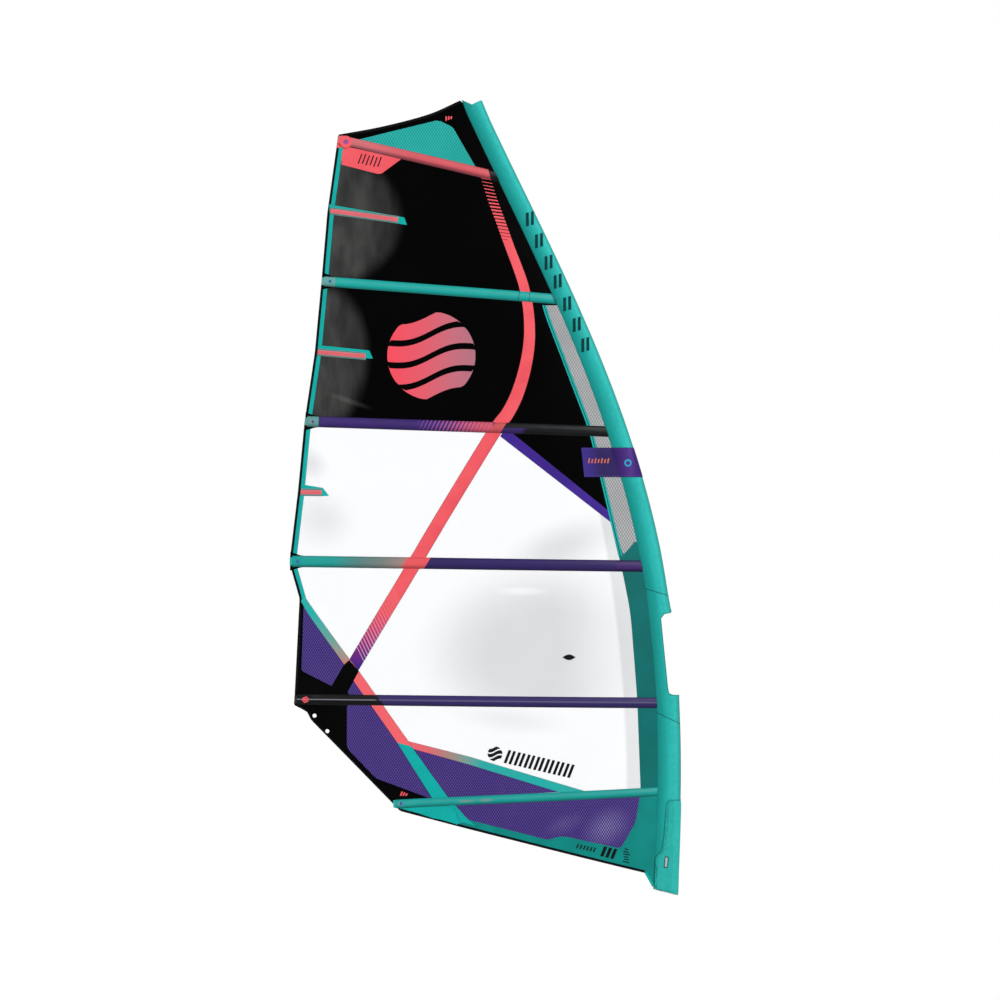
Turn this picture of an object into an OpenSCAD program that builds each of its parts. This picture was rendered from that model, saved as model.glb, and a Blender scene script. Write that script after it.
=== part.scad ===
// Windsurf sail: mast sleeve, film panels, tensioned battens, clew, tack and head fittings.
// Upright, +Z along the luff, leech towards -X, belly of the sail towards -Y.
// Origin: middle of the mast passage at the sleeve's bottom mouth.

/* [Sail] */
// deepest belly of the sail at the middle battens
belly = 50; // [30:1:60]
// thickness of the film and scrim panels
panel_t = 1; // [0.8:0.1:1.2]
// height of the tapes and patches above the panels
lift = 2.6; // [2.4:0.1:3]

/* [Sleeve] */
// width of the sleeve at its foot, front to back
sleeve_w = 145; // [138:1:150]
// how much narrower the sleeve gets per metre of height
sleeve_taper = 5.2; // [4:0.1:6]
// radius of the sleeve's rounded front
front_r = 32; // [31:0.5:33]
// wall of the sleeve cloth
sleeve_t = 2; // [1.5:0.1:2.2]

/* [Battens] */
// radius of the round battens
batten_r = 4.5; // [4:0.1:4.6]
// half of the depth of a batten pocket
pocket_d = 9; // [8.6:0.1:10]
// wall of a batten pocket
pocket_t = 1; // [0.8:0.1:1]
// neck of a tension screw
neck_r = 4; // [3.5:0.05:4]
// radial running clearance of the screw neck in its housing
neck_gap = 0.05; // [0.02:0.01:0.08]

/* [Clew and tack] */
// radius of the clew eyelets' holes
eyelet_r = 12; // [10:0.5:12]
// radius of the downhaul sheaves
sheave_r = 8; // [7:0.1:8.2]
// radius of the sheave axle
axle_r = 3; // [2.5:0.1:3.2]
// radial running clearance of the sheaves on the axle
axle_gap = 0.06; // [0.02:0.01:0.09]

/* [Hidden] */
$fn = 48;

// ---- outline ----
// front edge of the sleeve against height, a smooth curve
function front(z) = let (k = z / 1000)
    34 + 37.7 * k + 8.05 * k * k - 32.4 * k * k * k + 3.79 * k * k * k * k;
// width of the sleeve and its back edge, where the panels are sewn on
function chord(z) = sleeve_w - sleeve_taper * z / 1000;
function aft(z) = front(z) - chord(z);
function mast_x(z) = front(z) - front_r;

// leech, from the clew up: height, then x
LEECH = [
    [1125, -2245], [1165, -2240], [1760, -2210], [1970, -2270], [2390, -2220],
    [2810, -2180], [3215, -2120], [3640, -2080], [4050, -2045], [4515, -1980]
];
function leech(z) = lookup(z, LEECH);

// belly: deepest at two thirds of the way to the luff, none at leech and sleeve
DEPTH = [[0, 0.4], [700, 0.9], [1900, 1], [3500, 0.56], [4700, 0.16]];
REF = [[495, -1612], [1150, -2245], [4515, -1980]];
function depth(z) = belly * lookup(z, DEPTH);
function along(x, z) = let (a = lookup(z, REF), b = aft(z))
    min(1, max(0, (x - a) / (b - a)));
function skin(x, z) = let (u = along(x, z)) -depth(z) * 6.75 * u * u * (1 - u);

// ---- battens: leech end, luff end, half width of the pocket ----
B = [
    [[-1983, 4486], [-1049, 4268], 29],
    [[-2080, 3644], [-702, 3538], 30],
    [[-2180, 2811], [-391, 2751], 32],
    [[-2270, 1980], [-184, 1951], 34],
    [[-2242, 1160], [-95, 1139], 32],
    [[-1655, 538], [-91, 612], 26]
];
function b_len(k) = norm(B[k][1] - B[k][0]);
function b_dir(k) = (B[k][1] - B[k][0]) / b_len(k);
function b_up(k) = [-b_dir(k)[1], b_dir(k)[0]];
function b_tilt(k) = atan2(b_dir(k)[1], b_dir(k)[0]);
// point s along batten k and h above its middle line
function b_at(k, s, h) = B[k][0] + b_dir(k) * s + b_up(k) * h;
// where a line h above batten k meets the inner edge of the leech binding, and the sleeve
binding = 15;
function s_leech(k, h) = let (p = b_at(k, 15, h)) 15 + (leech(p[1]) + binding - p[0]) / b_dir(k)[0];
function s_luff(k, h) = let (p = b_at(k, b_len(k), h)) b_len(k) + (aft(p[1]) - 2.5 - p[0]) / b_dir(k)[0];
housing = 76;
tape_gap = 0.8;

// ---- solids from grids of points ----
function mix(a, b, t) = a + (b - a) * t;
// a closed solid, its faces turned to look outwards
module solid(pts, faces) {
    v = [for (f = faces) cross(pts[f[0]], pts[f[1]]) * pts[f[2]]];
    inward = v * [for (f = faces) 1] > 0;
    polyhedron(pts, inward ? [for (f = faces) [for (i = [len(f) - 1:-1:0]) f[i]]] : faces, convexity = 6);
}
// closed skin between an outer and an inner grid of points
module shell(o, i, wrap) {
    r = len(o);
    c = len(o[0]);
    last = wrap ? c - 1 : c - 2;
    n = r * c;
    pts = concat([for (row = o) for (p = row) p], [for (row = i) for (p = row) p]);
    sides = [for (j = [0:r - 2]) for (k = [0:last]) let (m = (k + 1) % c)
        [j * c + k, (j + 1) * c + k, (j + 1) * c + m, j * c + m]];
    rims = [for (k = [0:last]) let (m = (k + 1) % c) [k, m]];
    ends = wrap ? [] : [for (j = [0:r - 2]) [j * c, (j + 1) * c]];
    faces = concat(
        [for (q = sides) each [[q[0], q[1], q[2]], [q[0], q[2], q[3]]]],
        [for (q = sides) each [[n + q[2], n + q[1], n + q[0]], [n + q[3], n + q[2], n + q[0]]]],
        [for (e = rims) each [[e[0], e[1], n + e[1]], [e[0], n + e[1], n + e[0]]]],
        [for (e = rims) let (a = (r - 1) * c + e[0], b = (r - 1) * c + e[1])
            each [[b, a, n + a], [b, n + a, n + b]]],
        [for (e = ends) each [[e[1], e[0], n + e[0]], [e[1], n + e[0], n + e[1]]]],
        [for (e = ends) let (a = e[0] + c - 1, b = e[1] + c - 1)
            each [[a, b, n + b], [a, n + b, n + a]]]
    );
    solid(pts, faces);
}

// a sheet on the sail's skin from rows of [x, z] points running towards the luff
module sheet(rows, t, off) {
    f = [for (row = rows) [for (p = row) [p[0], skin(p[0], p[1]) + off - t / 2, p[1]]]];
    b = [for (row = rows) [for (p = row) [p[0], skin(p[0], p[1]) + off + t / 2, p[1]]]];
    shell(b, f, false);
}

// rows between two lines that hold the same number of points
function loft(a, b, m) = [for (j = [0:len(a) - 1]) [for (i = [0:m]) mix(a[j], b[j], i / m)]];
// n + 1 even points on a straight line
function even(a, b, n) = [for (i = [0:n]) mix(a, b, i / n)];

// ---- panels ----
rows_n = 6;
cols_n = 16;
// leech side and sleeve side of the panel between batten k and the one below it
function leech_z(k) = let (
        a = b_at(k + 1, s_leech(k + 1, B[k + 1][2] + tape_gap), B[k + 1][2] + tape_gap),
        b = b_at(k, s_leech(k, -B[k][2] - tape_gap), -B[k][2] - tape_gap))
    [for (j = [0:rows_n]) mix(a[1], b[1], j / rows_n)];
function leech_pts(k, in) = [for (z = leech_z(k)) [leech(z) + in, z]];
function luff_pts(k) = let (
        a = b_at(k + 1, s_luff(k + 1, B[k + 1][2] + tape_gap), B[k + 1][2] + tape_gap),
        b = b_at(k, s_luff(k, -B[k][2] - tape_gap), -B[k][2] - tape_gap))
    [for (j = [0:rows_n]) let (z = mix(a[1], b[1], j / rows_n)) [aft(z) - 2.5, z]];

module band_panel(k) {
    sheet(loft(leech_pts(k, binding), luff_pts(k), cols_n), panel_t, 0);
}

// head edge, inner side of its binding
HEAD = [[-1980, 4515], [-1448, 4637], [-1259, 4720]];
function head_z(x) = lookup(x, [for (p = HEAD) p]);
module head_panel() color("#101012") {
    lo = b_at(0, 70, B[0][2] + tape_gap);
    hi = b_at(0, s_luff(0, B[0][2] + tape_gap) - 2, B[0][2] + tape_gap);
    top = [[-1895, 4521], [-1738, 4557], [-1580, 4593], [-1448, 4623], [-1355, 4664], [-1272, 4700]];
    sheet(loft(even(lo, hi, 5), top, 4), panel_t, 0);
}
module panel_upper() color("#141416") band_panel(0);
module panel_lower() color("#141416") band_panel(1);
module window_upper() color("#E8E9EC") band_panel(2);
module window_middle() color("#E8E9EC") band_panel(3);

// leech side below the clew: the edge runs down and forward to the foot corner
CLEW = [[-2245, 1125], [-2167, 1087], [-2142, 1038]];
FOOT = [[-1612, 495], [-163, 130], [-112, 38]];
slant = [0.716, 0.698];
function slant_at(t) = mix(CLEW[2], FOOT[0], t);
module window_lower() color("#E8E9EC") {
    h6 = B[5][2] + tape_gap;
    h5 = -B[4][2] - tape_gap;
    low = slant_at(0.889) + slant * 13;
    first = [low[0], b_at(5, low[0] - B[5][0][0], h6)[1]];
    last = b_at(4, 319, h5);
    turn = slant_at(0.396) + slant * 13;
    side = [first, mix(first, turn, 0.5), turn, mix(turn, last, 0.33), mix(turn, last, 0.67), last];
    a = b_at(5, s_luff(5, h6), h6);
    b = b_at(4, s_luff(4, h5), h5);
    luff = [for (j = [0:5]) let (z = mix(a[1], b[1], j / 5)) [aft(z) - 2.5, z]];
    sheet(loft(side, luff, cols_n), panel_t, 0);
}

module foot_panel() color("#0A8C86") {
    h = -B[5][2] - tape_gap;
    top = even(b_at(5, 62, h), b_at(5, s_luff(5, h) - 2, h), 8);
    low = concat(even([-1583, 502], [-163, 144], 7), [[-118, 62]]);
    sheet(loft(low, top, 4), panel_t, 0);
}

clew_t = 3;
module clew_patch() color("#17171A") {
    h5 = -B[4][2] - tape_gap;
    a = [
        b_at(4, 14, h5), CLEW[1] + [3, -1], CLEW[2] + slant,
        slant_at(0.2) + slant, slant_at(0.388) + slant
    ];
    b = [b_at(4, 317, h5), [-1925, 1050], [-1925, 980], [-1925, 900], [-1925, 835]];
    difference() {
        sheet(loft(a, b, 6), clew_t, 0);
        for (p = EYELETS)
            translate([p[0], 0, p[1]])
                rotate([90, 0, 0])
                    cylinder(h = 60, r = eyelet_r + 2.4, center = true);
    }
}

// ---- edge bindings ----
module leech_binding() color("#0C0C0E") {
    for (k = [0:3])
        sheet(loft(leech_pts(k, 0), leech_pts(k, binding - 0.6), 1), 2.4, 0);
}
module head_binding() color("#0C0C0E") {
    edge = [for (x = [-1890, -1669, -1448, -1355, -1266]) [x, head_z(x)]];
    inner = [for (p = edge) p - [0, 12]];
    sheet(loft(edge, inner, 1), 2.4, 0);
}
module foot_binding() color("#0C0C0E") {
    side = [for (t = [0.4, 0.55, 0.7, 0.87]) slant_at(t)];
    sheet(loft(side, [for (p = side) p + slant * 12], 1), 2.4, 0);
    low = concat(even([-1590, 489.5], FOOT[1], 6), [[-119, 50]]);
    inner = concat(even([-1587, 501], [-162, 142.5], 6), [[-118.5, 61]]);
    sheet(loft(low, inner, 1), 2.4, 0);
}

// ---- tapes on the visible side ----
// a tape along a line of points, w wide
function tape(path, w) = [for (j = [0:len(path) - 1])
    let (a = path[max(0, j - 1)], b = path[min(len(path) - 1, j + 1)],
        d = (b - a) / norm(b - a), n = [d[1], -d[0]])
    [path[j] + n * w / 2, path[j] - n * w / 2]];
module tape_on(path, w, t = 0.8) {
    sheet(tape(path, w), t, -lift);
}
module power_band() color("#EE5A62") {
    w = 80;
    tape_on([[-1090, 4200], [-1040, 4085], [-995, 3975], [-945, 3840], [-890, 3700], [-865, 3610]], w);
    tape_on([[-852, 3465], [-846, 3340], [-860, 3180], [-905, 3010], [-965, 2868]], w);
    tape_on(even([-1073, 2692], [-1398, 2062], 6), w);
    tape_on(even([-1490, 1885], [-1810, 1475], 4), w);
}
module luff_strip() color("#9A9C9C") {
    strip = [for (s = [[1, 2], [2, 3]]) let (
            a = B[s[1]][1][1] + B[s[1]][2] + 12, b = B[s[0]][1][1] - B[s[0]][2] - 12)
        [for (j = [0:6]) let (z = mix(a, b, j / 6)) [aft(z) - 4, z]]];
    for (line = strip)
        sheet(loft([for (p = line) p - [lookup(p[1], [[1985, 20], [3500, 95]]), 0]], line, 1), 0.8, -lift);
}
module clew_strap() color("#2A9F9B") {
    tape_on(even([-2190, 1745], [-1962, 1250], 5), 55);
    tape_on(concat(even([-1860, 1080], [-1600, 900], 3), even([-1545, 800], [-1400, 610], 3)), 62);
}
module foot_strap() color("#2A9F9B") {
    tape_on(even([-1490, 880], [-530, 672], 7), 48);
    tape_on(even([-1290, 496], [-1210, 444], 2), 70);
}

// ---- mini battens in the leech: middle height, length, tilt ----
MINI = [[4061, 405, -7.6], [3222, 285, -4.9], [2391, 125, -1]];
// half-round pocket on the visible side, hollow for its batten
module mini(k, hw, hd, s0, s1) {
    m = MINI[k];
    a = [leech(m[0]) + 20, m[0]];
    d = [cos(m[2]), sin(m[2])];
    n = [-d[1], d[0]];
    o = [for (j = [0:6]) let (s = mix(s0, s1, j / 6), p = a + d * s)
        [for (i = [0:7]) let (q = p + n * hw * cos(45 * i))
            [q[0], skin(p[0], p[1]) - 5.2 + hd * sin(45 * i), q[1]]]];
    pts = [for (r = o) for (q = r) q];
    sweep(pts, 7, 8);
}
// solid through r rings of c points
module sweep(pts, r, c) {
    faces = concat(
        [for (i = [1:c - 2]) [0, i, i + 1]],
        [for (j = [0:r - 2]) for (i = [0:c - 1]) let (m = (i + 1) % c)
            each [[j * c + i, (j + 1) * c + i, (j + 1) * c + m], [j * c + i, (j + 1) * c + m, j * c + m]]],
        [for (i = [1:c - 2]) [(r - 1) * c, (r - 1) * c + i + 1, (r - 1) * c + i]]
    );
    solid(pts, faces);
}
module mini_pockets() color("#1BB5AA") {
    for (k = [0:2])
        difference() {
            mini(k, 22, 3.6, 0, MINI[k][1]);
            mini(k, 18.5, 2.6, -2, MINI[k][1] - 12);
        }
}
module mini_battens() color("#E9E4D6") {
    for (k = [0:2])
        mini(k, 15, 1.4, 4, MINI[k][1] - 24);
}

// ---- batten pockets and battens ----
function ring(k, s, hw, hd, c, lean = 0) = let (p = b_at(k, s, 0), y = skin(p[0], p[1]))
    [for (i = [0:c - 1]) let (a = 360 * i / c, h = hw * cos(a), q = b_at(k, s + lean * h, h))
        [q[0], y + hd * sin(a), q[1]]];
// how the sleeve's back edge leans against batten k, so the pocket ends along it
function luff_lean(k) = (s_luff(k, 20) - s_luff(k, -20)) / 40;
// even stations shared by a pocket and its batten
stations = 18;
function station(k, j) = mix(housing + 4, b_len(k) - 4, j / stations);
module pocket(k) {
    function lean(j) = j < stations ? 0 : luff_lean(k);
    o = [for (j = [0:stations]) ring(k, station(k, j), B[k][2], pocket_d, 12, lean(j))];
    i = [for (j = [0:stations]) ring(k, station(k, j), B[k][2] - 3, pocket_d - pocket_t, 12, lean(j))];
    shell(o, i, true);
}
module pocket_1() color("#E4606A") pocket(0);
module pocket_2() color("#1BB5AA") pocket(1);
module pocket_3() color("#3C2382") pocket(2);
module pocket_4() color("#3C2382") pocket(3);
module pocket_5() color("#3C2382") pocket(4);
module pocket_6() color("#0E958E") pocket(5);

// batten rod with the sliding cup that its tension screw pushes
cup_0 = 22;
cup_l = 32;
module batten(k) {
    ends = concat([cup_0 + 24], [for (j = [0:stations - 1]) station(k, j)], [b_len(k) - 34]);
    pts = [for (s = ends) each ring(k, s, batten_r, batten_r, 8)];
    sweep(pts, len(ends), 8);
    at_batten(k)
        difference() {
            translate([cup_0, -5.6, -10.6])
                cube([cup_l, 11.2, 21.2]);
            translate([cup_0 - 1, 0, 0])
                rotate([0, 90, 0])
                    cylinder(h = 24, r = neck_r + 0.25);
            translate([cup_0 + 22.5, 0, 0])
                rotate([0, 90, 0])
                    cylinder(h = cup_l, r = batten_r + 0.3);
        }
}
module at_batten(k) {
    translate([B[k][0][0], 0, B[k][0][1]])
        rotate([0, -b_tilt(k), 0])
            children();
}
module batten_1() color("#D8D6CC") batten(0);
module batten_2() color("#D8D6CC") batten(1);
module batten_3() color("#D8D6CC") batten(2);
module batten_4() color("#D8D6CC") batten(3);
module batten_5() color("#D8D6CC") batten(4);
module batten_6() color("#D8D6CC") batten(5);

// moulded housing at the leech: bearing wall for the screw, channel for the cup
module plate(l, w, r) {
    translate([0, -w / 2 + r])
        square([l, w - 2 * r]);
    translate([r, -w / 2])
        square([l - 2 * r, w]);
    for (x = [r, l - r])
        for (z = [-w / 2 + r, w / 2 - r])
            translate([x, z])
                circle(r);
}
module housing(k) {
    at_batten(k)
        difference() {
            translate([0, 9, 0])
                rotate([90, 0, 0])
                    linear_extrude(18)
                        plate(housing, 46, 7);
            translate([15, -6, -11])
                cube([housing, 12, 22]);
            translate([-1, 0, 0])
                rotate([0, 90, 0])
                    cylinder(h = 8, r = 7.6);
            translate([6, 0, 0])
                rotate([0, 90, 0])
                    cylinder(h = 10, r = neck_r + neck_gap);
            // slots for the seam that holds the housing in the pocket
            for (z = [-17, 17])
                translate([24, -10, z - 1.5])
                    cube([40, 20, 3]);
        }
}
module tensioner_1() color("#22242A") housing(0);
module tensioner_2() color("#22242A") housing(1);
module tensioner_3() color("#22242A") housing(2);
module tensioner_4() color("#22242A") housing(3);
module tensioner_5() color("#22242A") housing(4);
module tensioner_6() color("#22242A") housing(5);

// tension screw: hex socket head, neck in the bearing wall, collar and threaded end
module screw(k) {
    at_batten(k)
        rotate([0, 90, 0])
            difference() {
                union() {
                    translate([0, 0, 0.8])
                        cylinder(h = 5.9, r = 7);
                    translate([0, 0, 6])
                        cylinder(h = 10, r = neck_r);
                    translate([0, 0, 15.3])
                        cylinder(h = 2.2, r = 5.5);
                    translate([0, 0, 17])
                        cylinder(h = 26, r = neck_r - 0.1);
                }
                translate([0, 0, -1])
                    cylinder(h = 6, r = 2.9, $fn = 6);
            }
}
module screw_1() color("#EE5A62") screw(0);
module screw_2() color("#EE5A62") screw(1);
module screw_3() color("#EE5A62") screw(2);
module screw_4() color("#EE5A62") screw(3);
module screw_5() color("#EE5A62") screw(4);
module screw_6() color("#EE5A62") screw(5);

// ---- mast sleeve ----
back_r = 3.2;
// teardrop round the mast at height z, grown by g
function tear(z, g) = let (
        m = mast_x(z), a = aft(z) + back_r, R = front_r + g, q = back_r + g,
        w = acos((q - R) / (m - a)))
    concat(
        [for (i = [0:12]) let (t = mix(-w, w, i / 12)) [m + R * cos(t), R * sin(t)]],
        [for (i = [0:4]) let (t = mix(w, 360 - w, i / 4)) [a + q * cos(t), q * sin(t)]]
    );
function lift_ring(c, z, kind) = [for (p = c) [p[0], p[1],
    kind == "mouth" ? 36 - 0.25 * (p[0] + 110) :
    kind == "top" ? lookup(p[0], [[-1257, 4725], [-1187, 4692], [-1137, 4716]]) : z]];
module tube(z0, z1, n, g, t, low = "", high = "") {
    zs = [for (j = [0:n]) mix(z0, z1, j / n)];
    o = [for (j = [0:n]) lift_ring(tear(zs[j], g), zs[j], j == 0 ? low : j == n ? high : "")];
    i = [for (j = [0:n]) lift_ring(tear(zs[j], g - t), zs[j], j == 0 ? low : j == n ? high : "")];
    shell(i, o, true);
}
module sleeve_tack() color("#0FA79A") tube(20, 1049, 6, 0, sleeve_t, low = "mouth");
module sleeve_boom() color("#12A898") difference() {
    tube(1050.5, 1796, 5, 0, sleeve_t);
    // opening in front of the mast for the boom's clamp
    translate([0, 100, 0])
        rotate([90, 0, 0])
            linear_extrude(200)
                polygon([
                    [90, 1695], [-8, 1676], [-46, 1668], [-66, 1640], [-24, 1222],
                    [-16, 1194], [6, 1184], [90, 1183]
                ]);
}
module sleeve_lower() color("#1DB5A8") tube(1797.5, 2755, 6, 0, sleeve_t);
module sleeve_middle() color("#1DB5A8") tube(2756.5, 3535, 5, 0, sleeve_t);
module sleeve_upper() color("#1DB5A8") tube(3536.5, 4268, 5, 0, sleeve_t);
module sleeve_head() color("#1DB5A8") tube(4269.5, 4705, 3, 0, sleeve_t, high = "top");
// sewn band with the maker's label, round the sleeve
module label_band() color("#2B1B6B") tube(2480, 2655, 2, 2.4, 1.2);

// padding wrapped round the front of the sleeve's foot
module tack_pad() color("#0C7F7A") {
    zs = [30, 140, 250, 360, 470, 570];
    arc = function (z, r) [for (i = [0:14]) let (t = mix(-100, 100, i / 14))
        [mast_x(z) + r * cos(t), r * sin(t), z == 30 ? 42 - 0.25 * (mast_x(z) + r * cos(t)) : z]];
    shell([for (z = zs) arc(z, front_r + 1)], [for (z = zs) arc(z, front_r + 6)], false);
}

// ---- clew eyelets ----
EYELETS = [[-2122, 1063], [-2046, 971]];
module eyelet(p) {
    translate([p[0], skin(p[0], p[1]), p[1]])
        rotate([90, 0, 0])
            rotate_extrude()
                polygon([
                    [eyelet_r, -4.6], [eyelet_r + 5.5, -4.6], [eyelet_r + 6.5, -3.4],
                    [eyelet_r + 6.5, -2.2], [eyelet_r + 2, -2.2], [eyelet_r + 2, 2.2],
                    [eyelet_r + 6.5, 2.2], [eyelet_r + 6.5, 3.4], [eyelet_r + 5.5, 4.6],
                    [eyelet_r, 4.6]
                ]);
}
module clew_eyelet_upper() color("#17171A") eyelet(EYELETS[0]);
module clew_eyelet_lower() color("#17171A") eyelet(EYELETS[1]);

// ---- downhaul block inside the sleeve's foot: three sheaves on one axle along X ----
block_x = -50;
block_z = 92;
module tack_block() color("#C4C7CC") translate([block_x, 0, block_z]) difference() {
    union() {
        for (x = [-19.5, -6.9, 4.7, 17.3])
            translate([x, -7.5, -6])
                cube([2.2, 15, 24]);
        translate([-19.5, -7.5, 15.8])
            cube([39, 15, 2.2]);
    }
    translate([-25, 0, 0])
        rotate([0, 90, 0])
            cylinder(h = 50, r = axle_r + 0.02);
    translate([-11, -1.5, 14])
        cube([22, 3, 6]);
}
module sheave_axle() color("#8E9297") translate([block_x - 21, 0, block_z]) rotate([0, 90, 0]) {
    cylinder(h = 42, r = axle_r);
    cylinder(h = 1.2, r = axle_r + 1.6);
    translate([0, 0, 40.8])
        cylinder(h = 1.2, r = axle_r + 1.6);
}
module sheave(x) {
    translate([block_x + x, 0, block_z])
        rotate([0, 90, 0])
            rotate_extrude()
                polygon([
                    [axle_r + axle_gap, -4.6], [sheave_r, -4.6], [sheave_r, -3.8],
                    [sheave_r - 2.6, -1.4], [sheave_r - 2.6, 1.4], [sheave_r, 3.8],
                    [sheave_r, 4.6], [axle_r + axle_gap, 4.6]
                ]);
}
module sheave_1() color("#34363C") sheave(-11.95);
module sheave_2() color("#34363C") sheave(-0.1);
module sheave_3() color("#34363C") sheave(12.1);
// webbing that ties the block to the tack
module tack_webbing() color("#1A1A1D") translate([block_x, 0, block_z]) {
    translate([-10, -0.9, 15])
        cube([20, 1.8, 70]);
    translate([-10, -2.6, 18.4])
        cube([20, 5.2, 5]);
}

// ---- head: cap for the mast tip on an adjustable strap ----
cap_z = 4560;
module at_cap() {
    translate([mast_x(cap_z) - 1.5, 0, cap_z])
        rotate([0, -25, 0])
            children();
}
module mast_tip_cap() color("#222327") at_cap() difference() {
    union() {
        translate([0, 0, -50])
            cylinder(h = 56, r = 22);
        translate([0, 0, 6])
            cylinder(h = 5, r1 = 22, r2 = 16);
        translate([-14, -4, 10])
            cube([28, 8, 15]);
    }
    translate([0, 0, -51])
        cylinder(h = 47, r = 18);
    translate([-11, -5, 14.5])
        cube([22, 10, 3]);
}
module head_strap() color("#1A1A1D") at_cap() {
    difference() {
        translate([-10, -6.4, 14.8])
            cube([20, 12.8, 18]);
        translate([-11, -4.4, 17.2])
            cube([22, 8.8, 8.8]);
    }
    translate([-10, -1, 32])
        cube([20, 2, 46]);
}
module head_buckle() color("#222327") at_cap() difference() {
    translate([-16, -5.5, 48])
        cube([32, 11, 18]);
    translate([-10.5, -1.5, 47])
        cube([21, 3, 20]);
    for (y = [-6, 3.2])
        translate([-11, y, 54])
            cube([22, 2.8, 6]);
}

head_panel();
panel_upper();
panel_lower();
window_upper();
window_middle();
window_lower();
foot_panel();
clew_patch();
leech_binding();
foot_binding();
head_binding();
luff_strip();
power_band();
clew_strap();
foot_strap();
sleeve_tack();
sleeve_boom();
sleeve_lower();
sleeve_middle();
sleeve_upper();
sleeve_head();
label_band();
tack_pad();
pocket_1();
pocket_2();
pocket_3();
pocket_4();
pocket_5();
pocket_6();
batten_1();
batten_2();
batten_3();
batten_4();
batten_5();
batten_6();
tensioner_1();
tensioner_2();
tensioner_3();
tensioner_4();
tensioner_5();
tensioner_6();
screw_1();
screw_2();
screw_3();
screw_4();
screw_5();
screw_6();
mini_pockets();
mini_battens();
clew_eyelet_upper();
clew_eyelet_lower();
tack_block();
sheave_1();
sheave_2();
sheave_3();
sheave_axle();
tack_webbing();
mast_tip_cap();
head_strap();
head_buckle();
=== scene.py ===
import math

import bmesh
import bpy
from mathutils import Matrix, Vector, noise


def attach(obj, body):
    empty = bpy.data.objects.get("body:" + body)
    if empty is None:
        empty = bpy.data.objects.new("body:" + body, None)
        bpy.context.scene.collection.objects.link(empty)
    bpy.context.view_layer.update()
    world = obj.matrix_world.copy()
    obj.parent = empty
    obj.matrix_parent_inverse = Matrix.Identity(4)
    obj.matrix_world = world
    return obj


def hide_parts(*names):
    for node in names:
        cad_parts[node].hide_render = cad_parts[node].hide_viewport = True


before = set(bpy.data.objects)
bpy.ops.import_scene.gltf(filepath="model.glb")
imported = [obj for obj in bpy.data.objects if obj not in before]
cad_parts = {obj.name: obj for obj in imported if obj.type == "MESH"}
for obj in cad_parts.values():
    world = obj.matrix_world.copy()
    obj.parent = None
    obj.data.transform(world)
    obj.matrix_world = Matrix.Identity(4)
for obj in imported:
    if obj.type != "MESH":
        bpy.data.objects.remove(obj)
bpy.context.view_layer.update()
scene = bpy.context.scene

# Shapes are written in millimetres, x towards the luff and z up, as in the part's source.
MM = 0.001
CELL = 30      # size of the cells that the cloth's meshes are cut into
NEAR, FAR = -1, 1               # the visible side, towards -Y, and the other one
SIDES = ((NEAR, "star"), (FAR, "port"))
NEAR_ONLY = SIDES[:1]

# ------------------------------------------------------------------ camera and light
cam = bpy.data.objects.new("camera", bpy.data.cameras.new("camera"))
cam.data.lens = 200
cam.data.sensor_width = 36
cam.data.clip_end = 200
cam.location = (-1.0205, -33.0, 2.3439)
cam.rotation_euler = (math.radians(90), 0, 0)
scene.collection.objects.link(cam)
scene.camera = cam
scene.view_settings.view_transform = "Standard"


def sun(name, strength, angle, towards):
    """A broad soft light that shines in the direction towards."""
    lamp = bpy.data.lights.new(name, "SUN")
    lamp.energy = strength
    lamp.angle = math.radians(angle)
    o = bpy.data.objects.new(name, lamp)
    o.rotation_euler = Vector(towards).to_track_quat("-Z", "Y").to_euler()
    scene.collection.objects.link(o)


sun("key", 1.85, 32, (-0.42, 0.8, -0.42))
sun("fill", 0.5, 70, (0.6, 0.9, -0.05))
sun("back", 1.5, 60, (0.35, -0.9, -0.4))

world = bpy.data.worlds.new("studio")
scene.world = world
world.use_nodes = True
wt = world.node_tree
wt.nodes.clear()
seen, lit, pick, ray, out = (wt.nodes.new(t) for t in (
    "ShaderNodeBackground", "ShaderNodeBackground", "ShaderNodeMixShader",
    "ShaderNodeLightPath", "ShaderNodeOutputWorld"))
seen.inputs["Strength"].default_value = 1.0
seen.inputs["Color"].default_value = (1, 1, 1, 1)
lit.inputs["Strength"].default_value = 0.42
lit.inputs["Color"].default_value = (0.97, 0.985, 1, 1)
wt.links.new(ray.outputs["Is Camera Ray"], pick.inputs[0])
wt.links.new(lit.outputs[0], pick.inputs[1])
wt.links.new(seen.outputs[0], pick.inputs[2])
wt.links.new(pick.outputs[0], out.inputs[0])


# ------------------------------------------------------------------ material tools
def lin(code):
    """A hex colour as linear RGBA."""
    v = [int(code[i:i + 2], 16) / 255 for i in (0, 2, 4)]
    return [c / 12.92 if c <= 0.04045 else ((c + 0.055) / 1.055) ** 2.4 for c in v] + [1.0]


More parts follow.
